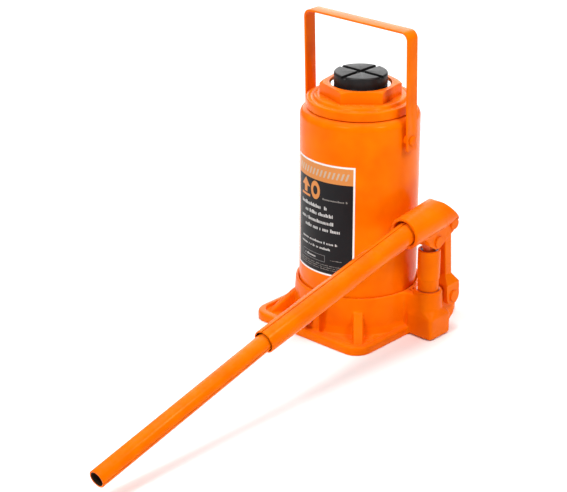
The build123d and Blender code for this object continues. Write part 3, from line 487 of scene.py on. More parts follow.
class Effects:
    """The node groups that several materials share. Each is built once, when it is first asked for."""

    @staticmethod
    def _group(name: str, takes: Sequence[str], gives: Sequence[str]) -> tuple[Any, Wiring, Any, Any]:
        """Start a node group with float inputs, a vector input named Place, and float outputs."""
        tree = bpy.data.node_groups.new(name, "ShaderNodeTree")
        wiring = Wiring(tree)
        tree.interface.new_socket("Place", in_out="INPUT", socket_type="NodeSocketVector")
        for label in takes:
            tree.interface.new_socket(label, in_out="INPUT", socket_type="NodeSocketFloat")
        for label in gives:
            tree.interface.new_socket(label, in_out="OUTPUT", socket_type="NodeSocketFloat")
        source = tree.nodes.new("NodeGroupInput")
        result = tree.nodes.new("NodeGroupOutput")
        return tree, wiring, source, result

    @classmethod
    def enamel_skin(cls) -> bpy.types.NodeTree:
        """Surface of thick enamel: casting waves and orange peel as a height, and pooling as a mask."""
        name = "enamel_skin"
        if name in bpy.data.node_groups:
            return bpy.data.node_groups[name]
        tree, wiring, source, result = cls._group(name, ("Wave", "Peel"), ("Height", "Pooling"))
        place = source.outputs["Place"]
        wave = wiring.noise(place, 85.0, 3.0, 0.55)
        peel = wiring.noise(place, 900.0, 2.0, 0.5)
        waves = wiring.math("MULTIPLY", wave, source.outputs["Wave"])
        height = wiring.math("MULTIPLY_ADD", peel, source.outputs["Peel"], waves)
        pooling = wiring.ranged(wiring.noise(place, 38.0, 2.0, 0.5), 0.35, 0.7, 0.0, 1.0)
        wiring.feed(result.inputs["Height"], height)
        wiring.feed(result.inputs["Pooling"], pooling)
        return tree

    @classmethod
    def shop_dust(cls) -> bpy.types.NodeTree:
        """Fine dust that has settled on the faces that look up, as a mask."""
        name = "shop_dust"
        if name in bpy.data.node_groups:
            return bpy.data.node_groups[name]
        tree, wiring, source, result = cls._group(name, ("Amount",), ("Mask",))
        normal = wiring.node("NewGeometry").outputs["Normal"]
        upward = wiring.node("SeparateXYZ", Vector=normal).outputs["Z"]
        facing = wiring.ranged(upward, 0.55, 1.0, 0.0, 1.0)
        clumps = wiring.noise(source.outputs["Place"], 210.0, 4.0, 0.65)
        specks = wiring.ranged(clumps, 0.42, 0.72, 0.15, 1.0)
        mask = wiring.math("MULTIPLY", facing, specks)
        wiring.feed(result.inputs["Mask"], wiring.math("MULTIPLY", mask, source.outputs["Amount"]))
        return tree

    @classmethod
    def tool_grain(cls) -> bpy.types.NodeTree:
        """Fine lines left by a tool or brush along a stretched place, and scattered scratches."""
        name = "tool_grain"
        if name in bpy.data.node_groups:
            return bpy.data.node_groups[name]
        tree, wiring, source, result = cls._group(name, ("Low", "High"), ("Height", "Roughness"))
        lines = wiring.noise(source.outputs["Place"], 1.0, 3.0, 0.6)
        spots = wiring.noise(source.outputs["Place"], 0.11, 2.0, 0.5)
        both = wiring.math("MULTIPLY_ADD", spots, 0.4, wiring.math("MULTIPLY", lines, 0.6))
        spread = wiring.math("SUBTRACT", source.outputs["High"], source.outputs["Low"])
        level = wiring.ranged(both, 0.3, 0.7, 0.0, 1.0)
        rough = wiring.math("MULTIPLY_ADD", level, spread, source.outputs["Low"])
        wiring.feed(result.inputs["Height"], lines)
        wiring.feed(result.inputs["Roughness"], rough)
        return tree

    @classmethod
    def print_row(cls) -> bpy.types.NodeTree:
        """Row of short printed dashes between two places across and two down, as a mask."""
        name = "print_row"
        if name in bpy.data.node_groups:
            return bpy.data.node_groups[name]
        takes = ("Left", "Right", "Top", "Bottom", "Pitch", "Fill")
        tree, wiring, source, result = cls._group(name, takes, ("Mask",))
        spot = wiring.node("SeparateXYZ", Vector=source.outputs["Place"])
        across, down = spot.outputs["X"], spot.outputs["Y"]
        sides = (
            wiring.math("GREATER_THAN", across, source.outputs["Left"]),
            wiring.math("LESS_THAN", across, source.outputs["Right"]),
            wiring.math("GREATER_THAN", down, source.outputs["Top"]),
            wiring.math("LESS_THAN", down, source.outputs["Bottom"]),
        )
        cell = wiring.math("DIVIDE", across, source.outputs["Pitch"])
        seed = wiring.math("MULTIPLY", source.outputs["Top"], 7.31)
        place = wiring.node("CombineXYZ", X=wiring.math("FLOOR", cell), Y=seed).outputs[0]
        chance = wiring.node("TexWhiteNoise", {"noise_dimensions": "2D"}, Vector=place).outputs["Value"]
        short = wiring.math("LESS_THAN", chance, 0.68)
        height = wiring.math("SUBTRACT", source.outputs["Bottom"], source.outputs["Top"])
        gap = wiring.math("MULTIPLY", wiring.math("MULTIPLY", short, 0.3), height)
        tops = wiring.math("ADD", source.outputs["Top"], gap)
        part = wiring.math("FRACT", cell)
        inked = wiring.math("LESS_THAN", part, wiring.math("MULTIPLY_ADD", chance, 0.3, 0.55))
        solid = wiring.math("LESS_THAN", chance, source.outputs["Fill"])
        mask = wiring.math("MULTIPLY", inked, solid)
        mask = wiring.math("MULTIPLY", mask, wiring.math("GREATER_THAN", down, tops))
        for side in sides:
            mask = wiring.math("MULTIPLY", mask, side)
        wiring.feed(result.inputs["Mask"], mask)
        return tree


# ------------------------------------------------------------------ finishes
@dataclass(frozen=True)
class Finish:
    """What every finish has: a name, the record's slot that it stands for, and one material."""

    name: str
    slot: Slot

    def material(self) -> bpy.types.Material:
        """Return the finish's material, built when it is first asked for."""
        found = bpy.data.materials.get(self.name)
        if found:
            return found
        made = bpy.data.materials.new(self.name)
        made.use_nodes = True
        wiring = Wiring(made.node_tree)
        place = wiring.node("TexCoord").outputs["Object"]
        self.wire(wiring, wiring.surface(), place)
        return made

    def wire(self, wiring: Wiring, surface: bpy.types.Node, place: Socket) -> None:
        """Feed the shader from Object coordinates. Each kind of finish has its own way."""
        raise NotImplementedError

    def bump(
        self, wiring: Wiring, surface: bpy.types.Node, height: Socket, strength: float, depth: float
    ) -> None:
        """Give the shader a bump from a height."""
        bump = wiring.node("Bump", Strength=strength, Distance=depth, Height=height)
        wiring.feed(surface.inputs["Normal"], bump.outputs[0])

    def dress(self, piece: bpy.types.Object) -> bpy.types.Object:
        """Put the finish on a piece."""
        material = self.material()
        if piece.material_slots:
            for holder in piece.material_slots:
                holder.link = "OBJECT"
                holder.material = material
        else:
            piece.data.materials.append(material)
        return piece


@dataclass(frozen=True)
class Enamel(Finish):
    """Gloss orange enamel. Castings show more waves under it than sheet and bar steel."""

    wave: float
    peel: float
    low_roughness: float
    high_roughness: float

    def wire(self, wiring: Wiring, surface: bpy.types.Node, place: Socket) -> None:
        """Colour pools a little deeper in places, and the skin has waves, peel and faint dust."""
        skin = wiring.group(Effects.enamel_skin(), Place=place, Wave=self.wave, Peel=self.peel)
        dust = wiring.group(Effects.shop_dust(), Place=place, Amount=0.035).outputs["Mask"]
        pooled = wiring.mix(skin.outputs["Pooling"], ORANGE, ORANGE_DEEP)
        shares = (skin.outputs["Pooling"], 0.0, 1.0, self.low_roughness, self.high_roughness)
        roughness = wiring.ranged(*shares)
        wiring.feed(surface.inputs["Base Color"], wiring.mix(dust, pooled, (0.8, 0.62, 0.45)))
        wiring.feed(surface.inputs["Roughness"], wiring.math("MULTIPLY_ADD", dust, 1.2, roughness))
        surface.inputs["Specular IOR Level"].default_value = 0.085
        surface.inputs["Specular Tint"].default_value = (1.0, 0.6, 0.2, 1.0)
        self.bump(wiring, surface, skin.outputs["Height"], 0.5, 0.35 * MM)


@dataclass(frozen=True)
class TubeEnamelShadedBore(Enamel):
    """Enamel outside a tube. Its bore is coloured almost black and rough as painted shade, for the shade
    deep inside the tube.
    """

    start: tuple[float, float, float]
    along: tuple[float, float, float]
    bore: float

    # Painted shade: the near-black colour given to the tube's bore.
    BORE_SHADE = (0.028, 0.017, 0.011)

    def wire(self, wiring: Wiring, surface: bpy.types.Node, place: Socket) -> None:
        """The distance from the tube's axis tells the bore from the outside."""
        super().wire(wiring, surface, place)
        reach = wiring.vector("SUBTRACT", place, self.start).outputs["Vector"]
        swept = wiring.vector("CROSS_PRODUCT", reach, self.along).outputs["Vector"]
        distance = wiring.vector("LENGTH", swept).outputs["Value"]
        # Painted shade: inside the bore the enamel turns near black and rougher, standing in for the shade
        # deep in the tube.
        inside = wiring.math("LESS_THAN", distance, self.bore)
        painted = surface.inputs["Base Color"].links[0].from_socket
        wiring.feed(surface.inputs["Base Color"], wiring.mix(inside, painted, self.BORE_SHADE))
        glossy = surface.inputs["Roughness"].links[0].from_socket
        wiring.feed(surface.inputs["Roughness"], wiring.math("MULTIPLY_ADD", inside, 0.4, glossy))


@dataclass(frozen=True)
class Metal(Finish):
    """Bare or plated metal with the lines of its tooling."""

    colour: tuple[float, float, float]
    stain: tuple[float, float, float]
    low_roughness: float
    high_roughness: float
    grain: Grain
    depth: float

    def wire(self, wiring: Wiring, surface: bpy.types.Node, place: Socket) -> None:
        """Lines along the grain vary the gloss, and broad stains vary the colour."""
        stretched = wiring.node("Mapping", Vector=place, Scale=self.grain.value).outputs[0]
        lines = wiring.group(
            Effects.tool_grain(), Place=stretched, Low=self.low_roughness, High=self.high_roughness
        )
        stains = wiring.ranged(wiring.noise(place, 70.0, 4.0, 0.6), 0.35, 0.75, 0.0, 0.8)
        wiring.feed(surface.inputs["Base Color"], wiring.mix(stains, self.colour, self.stain))
        wiring.feed(surface.inputs["Roughness"], lines.outputs["Roughness"])
        surface.inputs["Metallic"].default_value = 1.0
        self.bump(wiring, surface, lines.outputs["Height"], 0.25, self.depth)


@dataclass(frozen=True)
class OversprayedRod(Metal):
    """A bare metal rod whose outer end is covered by orange enamel past a line."""

    towards: tuple[float, float, float]
    paint_line: float

    def wire(self, wiring: Wiring, surface: bpy.types.Node, place: Socket) -> None:
        """The enamel ends in a ragged line over the metal."""
        super().wire(wiring, surface, place)
        reach = wiring.vector("DOT_PRODUCT", place, self.towards).outputs["Value"]
        noise = wiring.noise(place, 420.0, 3.0, 0.6)
        ragged = wiring.math("MULTIPLY_ADD", noise, 1.6 * MM, reach)
        paint = wiring.math("GREATER_THAN", ragged, self.paint_line)
        bare = surface.inputs["Base Color"].links[0].from_socket
        wiring.feed(surface.inputs["Base Color"], wiring.mix(paint, bare, ORANGE_DEEP))
        wiring.feed(surface.inputs["Metallic"], wiring.math("SUBTRACT", 1.0, paint))


@dataclass(frozen=True)
class BlackSatin(Finish):
    """Satin black oxide with a fine sandblasted grain."""

    def wire(self, wiring: Wiring, surface: bpy.types.Node, place: Socket) -> None:
        """Blasted grain, rubbed patches that shine a little more, and faint dust on top."""
        grit = wiring.noise(place, 2600.0, 3.0, 0.7)
        rubbed = wiring.ranged(wiring.noise(place, 90.0, 4.0, 0.6), 0.35, 0.7, 0.0, 1.0)
        dust = wiring.group(Effects.shop_dust(), Place=place, Amount=0.02).outputs["Mask"]
        black = wiring.mix(rubbed, (0.006, 0.006, 0.0065), (0.011, 0.0105, 0.011))
        wiring.feed(surface.inputs["Base Color"], wiring.mix(dust, black, (0.16, 0.15, 0.14)))
        wiring.feed(surface.inputs["Roughness"], wiring.ranged(rubbed, 0.0, 1.0, 0.5, 0.38))
        surface.inputs["Specular IOR Level"].default_value = 0.24
        self.bump(wiring, surface, grit, 0.35, 0.12 * MM)


@dataclass(frozen=True)
class Elastomer(Finish):
    """Moulded rubber or urethane."""

    colour: tuple[float, float, float]
    bloom: tuple[float, float, float]
    roughness: float

    def wire(self, wiring: Wiring, surface: bpy.types.Node, place: Socket) -> None:
        """A pale bloom comes and goes over the colour, above a fine moulded grain."""
        patches = wiring.ranged(wiring.noise(place, 120.0, 4.0, 0.6), 0.4, 0.75, 0.0, 0.7)
        grain = wiring.noise(place, 1800.0, 2.0, 0.6)
        wiring.feed(surface.inputs["Base Color"], wiring.mix(patches, self.colour, self.bloom))
        rough = wiring.ranged(patches, 0.0, 0.7, self.roughness, self.roughness + 0.15)
        wiring.feed(surface.inputs["Roughness"], rough)
        self.bump(wiring, surface, grain, 0.3, 0.1 * MM)


@dataclass(frozen=True)
class WovenBronze(Finish):
    """Filter gauze of fine bronze wires."""

    wires_per_metre: float

    def wire(self, wiring: Wiring, surface: bpy.types.Node, place: Socket) -> None:
        """Crossed wires give the height, and the openings between them are coloured dark as painted shade.
        """
        spot = wiring.node("SeparateXYZ", Vector=place)
        waves = []
        for axis in ("X", "Y"):
            phase = wiring.math("MULTIPLY", spot.outputs[axis], self.wires_per_metre * math.tau)
            waves.append(wiring.math("ABSOLUTE", wiring.math("SINE", phase)))
        height = wiring.math("MAXIMUM", *waves)
        # Painted shade: where the wires dip, the colour turns near black and rougher, standing in for the
        # shade seen through the openings.
        shaded_openings = wiring.ranged(height, 0.35, 0.7, 0.0, 1.0)
        wiring.feed(surface.inputs["Base Color"], wiring.mix(shaded_openings, (0.05, 0.035, 0.02), (0.62, 0.47, 0.26)))
        wiring.feed(surface.inputs["Roughness"], wiring.ranged(shaded_openings, 0.0, 1.0, 0.8, 0.35))
        surface.inputs["Metallic"].default_value = 1.0
        self.bump(wiring, surface, height, 0.8, 0.2 * MM)


@dataclass(frozen=True)
class PrintRow:
    """One row or block of print, in millimetres from the label's left edge and top."""

    left: float
    right: float
    top: float
    bottom: float
    pitch: float = 2.0
    fill: float = 0.86


@dataclass(frozen=True)
class PrintedLabel(Finish):
    """Gloss vinyl label with a pale border, a tan header, a black field and made-up rows of print."""

    radius: float
    left_angle: float
    width: float
    top: float
    height: float
    border: float = 1.7
    header: float = 17.5

    WHITE = (0.83, 0.82, 0.80)
    TAN = (0.66, 0.245, 0.06)
    HEADER_INK = (0.55, 0.42, 0.31)
    BLACK = (0.007, 0.006, 0.0075)
    PALE_INK = (0.56, 0.56, 0.55)
    FINE_INK = (0.24, 0.22, 0.2)
    FRAME_INK = (0.2, 0.2, 0.2)
    HEADER_BARS = (5.0, 65.5, 6.6, 13.2)
    FRAME_OUTSIDE = (11.0, 42.0, 89.6, 96.2)
    FRAME_INSIDE = (11.4, 41.6, 90.0, 95.8)
    ARROW_STEM = (13.2, 18.2, 26.0, 33.0)
    LIFTING_PLATE = (8.6, 22.8, 34.4, 36.6)
    PALE_ROWS = (
        PrintRow(8.5, 43.5, 41.2, 44.6, 1.7),
        PrintRow(15.0, 50.0, 48.0, 51.4, 1.7),
        PrintRow(8.5, 50.5, 55.4, 58.8, 1.7),
        PrintRow(15.0, 57.5, 62.2, 65.6, 1.7),
        PrintRow(8.5, 54.5, 76.0, 78.2, 1.5, 0.8),
        PrintRow(8.5, 48.0, 81.6, 83.8, 1.5, 0.8),
        PrintRow(14.5, 31.0, 92.0, 94.0, 1.4),
    )
    FINE_ROWS = (
        PrintRow(8.5, 60.0, 98.6, 99.4, 0.9),
        PrintRow(8.5, 63.0, 100.6, 101.4, 0.9),
        PrintRow(8.5, 57.0, 102.6, 103.4, 0.9),
        PrintRow(47.0, 60.0, 92.6, 93.4, 0.9),
        PrintRow(38.0, 64.0, 33.2, 35.0, 1.3),
    )

    def _inside(self, wiring: Wiring, across: Any, down: Any, box: Sequence[float]) -> Socket:
        """Mask of a box given by its left, right, top and bottom."""
        left, right, top, bottom = box
        mask = wiring.math("GREATER_THAN", across, left)
        for operation, value, limit in (
            ("LESS_THAN", across, right),
            ("GREATER_THAN", down, top),
            ("LESS_THAN", down, bottom),
        ):
            mask = wiring.math("MULTIPLY", mask, wiring.math(operation, value, limit))
        return mask

    def _lifting_sign(self, wiring: Wiring, across: Any, down: Any) -> Socket:
        """Mask of a plain sign: an arrow that points up from a plate, beside a ring."""
        stem = self._inside(wiring, across, down, self.ARROW_STEM)
        plate = self._inside(wiring, across, down, self.LIFTING_PLATE)
        offset = wiring.math("ABSOLUTE", wiring.math("SUBTRACT", across, 15.7))
        slope = wiring.math("MULTIPLY_ADD", offset, 1.15, 19.0)
        below = wiring.math("GREATER_THAN", down, slope)
        above = wiring.math("LESS_THAN", down, 27.0)
        head = wiring.math("MULTIPLY", below, above)
        ring_across = wiring.math("DIVIDE", wiring.math("SUBTRACT", across, 30.0), 5.9)
        ring_down = wiring.math("DIVIDE", wiring.math("SUBTRACT", down, 27.8), 8.8)
        squares = wiring.math("MULTIPLY", ring_across, ring_across)
        reach = wiring.math("MULTIPLY_ADD", ring_down, ring_down, squares)
        outer = wiring.math("LESS_THAN", reach, 1.0)
        hollow = wiring.math("GREATER_THAN", reach, 0.24)
        ring = wiring.math("MULTIPLY", outer, hollow)
        sign = wiring.math("MAXIMUM", stem, plate)
        return wiring.math("MAXIMUM", wiring.math("MAXIMUM", sign, head), ring)

    def wire(self, wiring: Wiring, surface: bpy.types.Node, place: Socket) -> None:
        """Work out the place on the label in millimetres, then lay each printed area over the last."""
        spot = wiring.node("SeparateXYZ", Vector=place)
        angle = wiring.math("ARCTAN2", spot.outputs["Y"], spot.outputs["X"])
        turn = wiring.math("SUBTRACT", angle, self.left_angle)
        across = wiring.math("MULTIPLY", turn, self.radius / MM)
        lower = wiring.math("SUBTRACT", self.top, spot.outputs["Z"])
        down = wiring.math("MULTIPLY", lower, 1.0 / MM)
        on_label = wiring.node("CombineXYZ", X=across, Y=down).outputs[0]
        far = (self.width / MM - self.border, self.height / MM - self.border)
        field = self._inside(wiring, across, down, (self.border, far[0], self.border, far[1]))
        header = self._inside(wiring, across, down, (self.border, far[0], self.border, self.header))
        colour = wiring.mix(field, self.WHITE, self.BLACK)
        colour = wiring.mix(header, colour, self.TAN)
        # slanting pale bars across the header
        slant = wiring.math("MULTIPLY_ADD", down, 0.35, across)
        bars = wiring.math("LESS_THAN", wiring.math("FRACT", wiring.math("DIVIDE", slant, 4.4)), 0.42)
        band = self._inside(wiring, across, down, self.HEADER_BARS)
        colour = wiring.mix(wiring.math("MULTIPLY", bars, band), colour, self.HEADER_INK)
        colour = wiring.mix(self._lifting_sign(wiring, across, down), colour, self.TAN)
        frame_out = self._inside(wiring, across, down, self.FRAME_OUTSIDE)
        frame_in = self._inside(wiring, across, down, self.FRAME_INSIDE)
        outline = wiring.math("SUBTRACT", frame_out, frame_in)
        colour = wiring.mix(outline, colour, self.FRAME_INK)
        for rows, ink in ((self.PALE_ROWS, self.PALE_INK), (self.FINE_ROWS, self.FINE_INK)):
            for row in rows:
                mask = wiring.group(
                    Effects.print_row(),
                    Place=on_label,
                    Left=row.left,
                    Right=row.right,
                    Top=row.top,
                    Bottom=row.bottom,
                    Pitch=row.pitch,
                    Fill=row.fill,
                ).outputs["Mask"]
                colour = wiring.mix(mask, colour, ink)
        ripple = wiring.noise(place, 140.0, 3.0, 0.5)
        wiring.feed(surface.inputs["Base Color"], colour)
        wiring.feed(surface.inputs["Roughness"], wiring.ranged(ripple, 0.3, 0.7, 0.34, 0.44))
        surface.inputs["Specular IOR Level"].default_value = 0.16
        self.bump(wiring, surface, ripple, 0.3, 0.1 * MM)


CAST_ENAMEL = Enamel("orange_enamel_on_casting", Slot.CAST_PAINT, 1.0, 0.16, 0.22, 0.32)
STEEL_ENAMEL = Enamel("orange_enamel_on_steel", Slot.STEEL_PAINT, 0.32, 0.10, 0.15, 0.23)
BLACK_OXIDE = BlackSatin("black_oxide_satin", Slot.BLACK_STEEL)
CHROME = Metal(
    "hard_chrome", Slot.CHROME, (0.60, 0.61, 0.63), (0.50, 0.51, 0.53), 0.10, 0.24, Grain.TURNED, 0.01 * MM
)
BRIGHT_STEEL = Metal(
    "turned_steel", Slot.BRIGHT, (0.56, 0.56, 0.55), (0.38, 0.37, 0.36), 0.22, 0.42, Grain.TURNED, 0.03 * MM
)
PAINTED_ROD = OversprayedRod(
    "turned_steel_with_overspray", *astuple(BRIGHT_STEEL)[1:], towards=(0.0, 0.0, 1.0), paint_line=84.0 * MM
)
ZINC = Metal(
    "zinc_plate", Slot.ZINC, (0.66, 0.64, 0.56), (0.52, 0.53, 0.52), 0.25, 0.45, Grain.EVEN, 0.02 * MM
)
PAINTED_VALVE = OversprayedRod(
    "zinc_plate_with_overspray", *astuple(ZINC)[1:], towards=(0.0, -1.0, 0.0), paint_line=58.0 * MM
)
SPRING_STEEL = Metal(
    "oiled_spring_steel",
    Slot.SPRING,
    (0.28, 0.28, 0.29),
    (0.14, 0.13, 0.12),
    0.28,
    0.5,
    Grain.EVEN,
    0.02 * MM,
)
COPPER = Metal(
    "soft_copper", Slot.COPPER, (0.72, 0.36, 0.22), (0.45, 0.19, 0.11), 0.25, 0.48, Grain.EVEN, 0.02 * MM
)
NITRILE = Elastomer("black_nitrile", Slot.RUBBER, (0.016, 0.016, 0.017), (0.045, 0.044, 0.043), 0.55)
URETHANE = Elastomer("blue_urethane", Slot.URETHANE, (0.05, 0.10, 0.30), (0.10, 0.16, 0.36), 0.35)
FILTER_GAUZE = WovenBronze("woven_bronze", Slot.MESH, 1400.0)
PLAIN_FINISHES = (
    CAST_ENAMEL,
    STEEL_ENAMEL,
    BLACK_OXIDE,
    CHROME,
    BRIGHT_STEEL,
    ZINC,
    SPRING_STEEL,
    COPPER,
    NITRILE,
    URETHANE,
    FILTER_GAUZE,
)


# ------------------------------------------------------------------ sub-assemblies
@dataclass
class Assembly:
    """A sub-assembly of the jack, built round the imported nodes."""

    nodes: dict[str, bpy.types.Object]

    def settle(
        self, piece: bpy.types.Object, finish: Finish, body: Body, *stands_for: str
    ) -> bpy.types.Object:
        """Dress a finished piece, set it on its body and let it stand for CAD nodes.

        Args:
            piece: The finished object.
            finish: Its finish.
            body: The body it moves with.
            *stands_for: The CAD nodes it takes the place of.

        Returns:
            The same object.
        """
        finish.dress(piece)
        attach(piece, body.value)
        if stands_for:
            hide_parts(*stands_for)
        LOG.info("%s rides on %s: %d faces", piece.name, body.value, len(piece.data.polygons))
        return piece


@dataclass
class Castings(Assembly):
    """The base casting, the handle socket and the link, whose edges are soft under thick paint."""

    base_grain: float = 0.75 * MM
    socket_grain: float = 0.42 * MM
    link_grain: float = 0.42 * MM
    base_rounds: int = 16
    small_rounds: int = 9

    def build(self) -> None:
        """Skin each casting."""
        base = cast_skin("base_casting_skin", self.nodes["base_casting"], self.base_grain, self.base_rounds)
        self.settle(base, CAST_ENAMEL, Body.TANK, "base_casting")
        socket = cast_skin(
            "handle_socket_skin", self.nodes["handle_socket"], self.socket_grain, self.small_rounds
        )
        self.settle(socket, CAST_ENAMEL, Body.SOCKET, "handle_socket")
        link = cast_skin("link_skin", self.nodes["link"], self.link_grain, self.small_rounds)
        self.settle(link, CAST_ENAMEL, Body.LINK, "link")


@dataclass
class Reservoir(Assembly):
    """The oil tank's label and filler plug."""

    label_left: float = math.radians(-126.5)
    label_right: float = math.radians(-53.4)
    plug_dome: float = 1.3 * MM
    plug_flange: float = 3.0 * MM
    plug_spigot: float = 4.9 * MM
    plug_dish: float = 0.7 * MM

    def build(self) -> None:
        """Dress the label from its own size, and dome the rubber plug."""
        low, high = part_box("label")
        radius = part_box("reservoir_tank")[1].x
        printed = PrintedLabel(
            "printed_vinyl",
            Slot.LABEL,
            radius,
            self.label_left,
            (self.label_right - self.label_left) * radius,
            high.z,
            high.z - low.z,
        )
        printed.dress(self.nodes["label"])
        self._plug()

    def _plug(self) -> None:
        """Rubber filler plug: a spigot under a flange with a rounded rim and a dished middle."""
        low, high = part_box("filler_plug")
        height = high.y - low.y
        radius = (high.x - low.x) / 2
        under = height - self.plug_flange
        floor = height - self.plug_dish
        line = rounded_profile(
            [
                (self.plug_spigot - 0.8 * MM, 0.0, 0.0),
                (self.plug_spigot, 1.2 * MM, 0.0),
                (self.plug_spigot, under, 0.3 * MM),
                (radius, under, 0.7 * MM),
                (radius, height, self.plug_dome),
                (radius * 0.62, height, 0.5 * MM),
                (radius * 0.5, floor, 0.5 * MM),
                (0.3 * MM, floor, 0.0),
            ]
        )
        middle = ((low.x + high.x) / 2, low.y, (low.z + high.z) / 2)
        plug = turned("filler_plug_moulded", line, axis_frame(middle, (0, 1, 0), (1, 0, 0)))
        self.settle(plug, NITRILE, Body.FILLER_PLUG, "filler_plug")


@dataclass
class Head(Assembly):
    """The tank nut, the saddle and the threaded extension screw."""

    nut_seat: float = 208.0 * MM
    flange_bottom: float = 208.8 * MM
    flange_top: float = 217.5 * MM
    flange_rounding: float = 3.0 * MM
    collar_radius: float = 41.5 * MM
    collar_rise: float = 2.2 * MM
    hex_radius: float = 37.5 * MM
    hex_turn: float = math.radians(42.0)
    hex_chamfer: float = 2.4 * MM
    hex_sink: float = 1.0 * MM
    neck_step: float = 2.6 * MM
    bore: float = 28.25 * MM
    bore_clearance: float = 0.2 * MM
    edge: float = 2.3 * MM
    groove_width: float = 5.0 * MM
    groove_depth: float = 2.4 * MM
    saddle_edge: float = 0.55 * MM
    thread_pitch: float = 4.0 * MM
    thread_depth: float = 1.0 * MM
    thread_steps: int = 48
    thread_overlap: float = 0.1 * MM
    ring_groove: tuple[float, float] = (3.0 * MM, 6.3 * MM)
    ring_groove_radius: float = 14.5 * MM

    def build(self) -> None:
        """Build the three pieces."""
        self._nut()
        self._saddle()
        self._screw()

    def _nut(self) -> None:
        """Six-sided head with a turned chamfer, on a round flange."""
        low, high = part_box("tank_nut")
        outer = (high.x - low.x) / 2
        neck = outer - self.neck_step
        flange = turned(
            "tank_nut_painted",
            rounded_profile(
                [
                    (self.bore, self.nut_seat, 0.0),
                    (neck, self.nut_seat, 0.0),
                    (neck, self.flange_bottom, 0.0),
                    (outer, self.flange_bottom, 0.8 * MM),
                    (outer, self.flange_top, self.flange_rounding),
                    (self.collar_radius + 3.6 * MM, self.flange_top, 1.6 * MM),
                    (self.collar_radius + 2.0 * MM, self.flange_top - 0.9 * MM, 1.2 * MM),
                    (self.collar_radius, self.flange_top + self.collar_rise, 2.6 * MM),
                    (self.bore, self.flange_top + self.collar_rise, 0.0),
                    (self.bore, self.nut_seat, 0.0),
                ],
                8,
            ),
            Matrix.Identity(4),
            144,
        )
        Bench.clear()
        rise = high.z - self.flange_top + self.hex_sink
        bpy.ops.mesh.primitive_cylinder_add(
            vertices=6,
            radius=self.hex_radius,
            depth=rise,
            location=(0.0, 0.0, high.z - rise / 2),
            rotation=(0.0, 0.0, self.hex_turn - math.pi / 2),
        )
        head = Bench.named("hex_head")
        bpy.ops.object.transform_apply(location=True, rotation=True, scale=True)
        hole = self.bore + self.bore_clearance
        reach = self.hex_radius + 2.0 * MM
        foot = high.z - rise - 1.0 * MM
        lid = high.z + 0.01 * MM
        blank = turned(
            "hex_blank",
            [
                (hole, foot),
                (reach, foot),
                (reach, high.z - self.hex_chamfer),
                (self.hex_radius - 3.2 * MM, lid),
                (hole, lid),
                (hole, foot),
            ],
            Matrix.Identity(4),
            144,
        )
        Bench.cut(head, blank, keep_common=True)
        Bench.break_edges(head, self.edge, 22.0)
        Bench.finish(head, 30.0)
        nut = Bench.join(flange, head)
        self.settle(nut, CAST_ENAMEL, Body.TANK, "tank_nut")

    def _saddle(self) -> None:
        """Round saddle with a cross of grooves, its edges broken."""
        low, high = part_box("saddle")
        radius = (high.x - low.x) / 2
        saddle = turned(
            "saddle_grooved",
            rounded_profile(
                [
                    (11.0 * MM, low.z, 0.0),
                    (radius, low.z, 0.9 * MM),
                    (radius, high.z, 2.2 * MM),
                    (0.4 * MM, high.z, 0.0),
                ],
                6,
            ),
            Matrix.Identity(4),
            128,
        )
        floor = high.z - self.groove_depth
        for name, size in (
            ("groove_across", (3 * radius, self.groove_width, 2 * self.groove_depth)),
            ("groove_along", (self.groove_width, 3 * radius, 2 * self.groove_depth)),
        ):
            Bench.cut(saddle, block(name, (0.0, 0.0, floor + self.groove_depth), size))
        Bench.break_edges(saddle, self.saddle_edge, 40.0)
        Bench.finish(saddle, 40.0)
        self.settle(saddle, BLACK_OXIDE, Body.SCREW, "saddle")

    def _screw(self) -> None:
        """Extension screw: a core with one helical ridge for its thread."""
        low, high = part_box("extension_screw")
        crest = (high.x - low.x) / 2
        root = crest - self.thread_depth
        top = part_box("saddle")[0].z
        near, far = self.ring_groove
        core = turned(
            "extension_screw_threaded",
            [
                (15.0 * MM, low.z),
                (root, low.z + 1.5 * MM),
                (root, low.z + near),
                (self.ring_groove_radius, low.z + near),
                (self.ring_groove_radius, low.z + far),
                (root, low.z + far),
                (root, top - 2.0 * MM),
                (root, top - 0.02 * MM),
                (1.0 * MM, top - 0.02 * MM),
            ],
            Matrix.Identity(4),
        )
        start = low.z + 9.0 * MM
        turns = int((top - 2.5 * MM - start) / self.thread_pitch)
        Bench.clear()
        bpy.ops.mesh.primitive_plane_add(
            size=1.0, location=(root + self.thread_overlap, 0.0, start), rotation=(math.pi / 2, 0.0, 0.0)
        )
        ridge = Bench.named("thread_ridge")
        ridge.scale = (2 * (self.thread_depth - self.thread_overlap), 0.78 * self.thread_pitch, 1.0)
        bpy.ops.object.transform_apply(location=True, rotation=True, scale=True)
        with Bench.editing(ridge):
            Bench.pick(ridge, "verts", lambda point: point.x > root + 0.2 * MM)
            bpy.ops.transform.resize(value=(1.0, 1.0, 0.32), center_override=(crest, 0.0, start))
            bpy.ops.mesh.select_all(action="SELECT")
            bpy.ops.mesh.delete(type="ONLY_FACE")
        Bench.modify(
            ridge,
            "SCREW",
            axis="Z",
            angle=math.tau,
            screw_offset=self.thread_pitch,
            iterations=turns,
            steps=self.thread_steps,
            render_steps=self.thread_steps,
            use_merge_vertices=True,
            merge_threshold=TINY,
        )
        with Bench.editing(ridge):
            bpy.ops.mesh.select_all(action="SELECT")
            bpy.ops.mesh.fill_holes(sides=4)
        Bench.finish(ridge, 30.0)
        screw = Bench.join(core, ridge)
        self.settle(screw, BRIGHT_STEEL, Body.SCREW, "extension_screw")


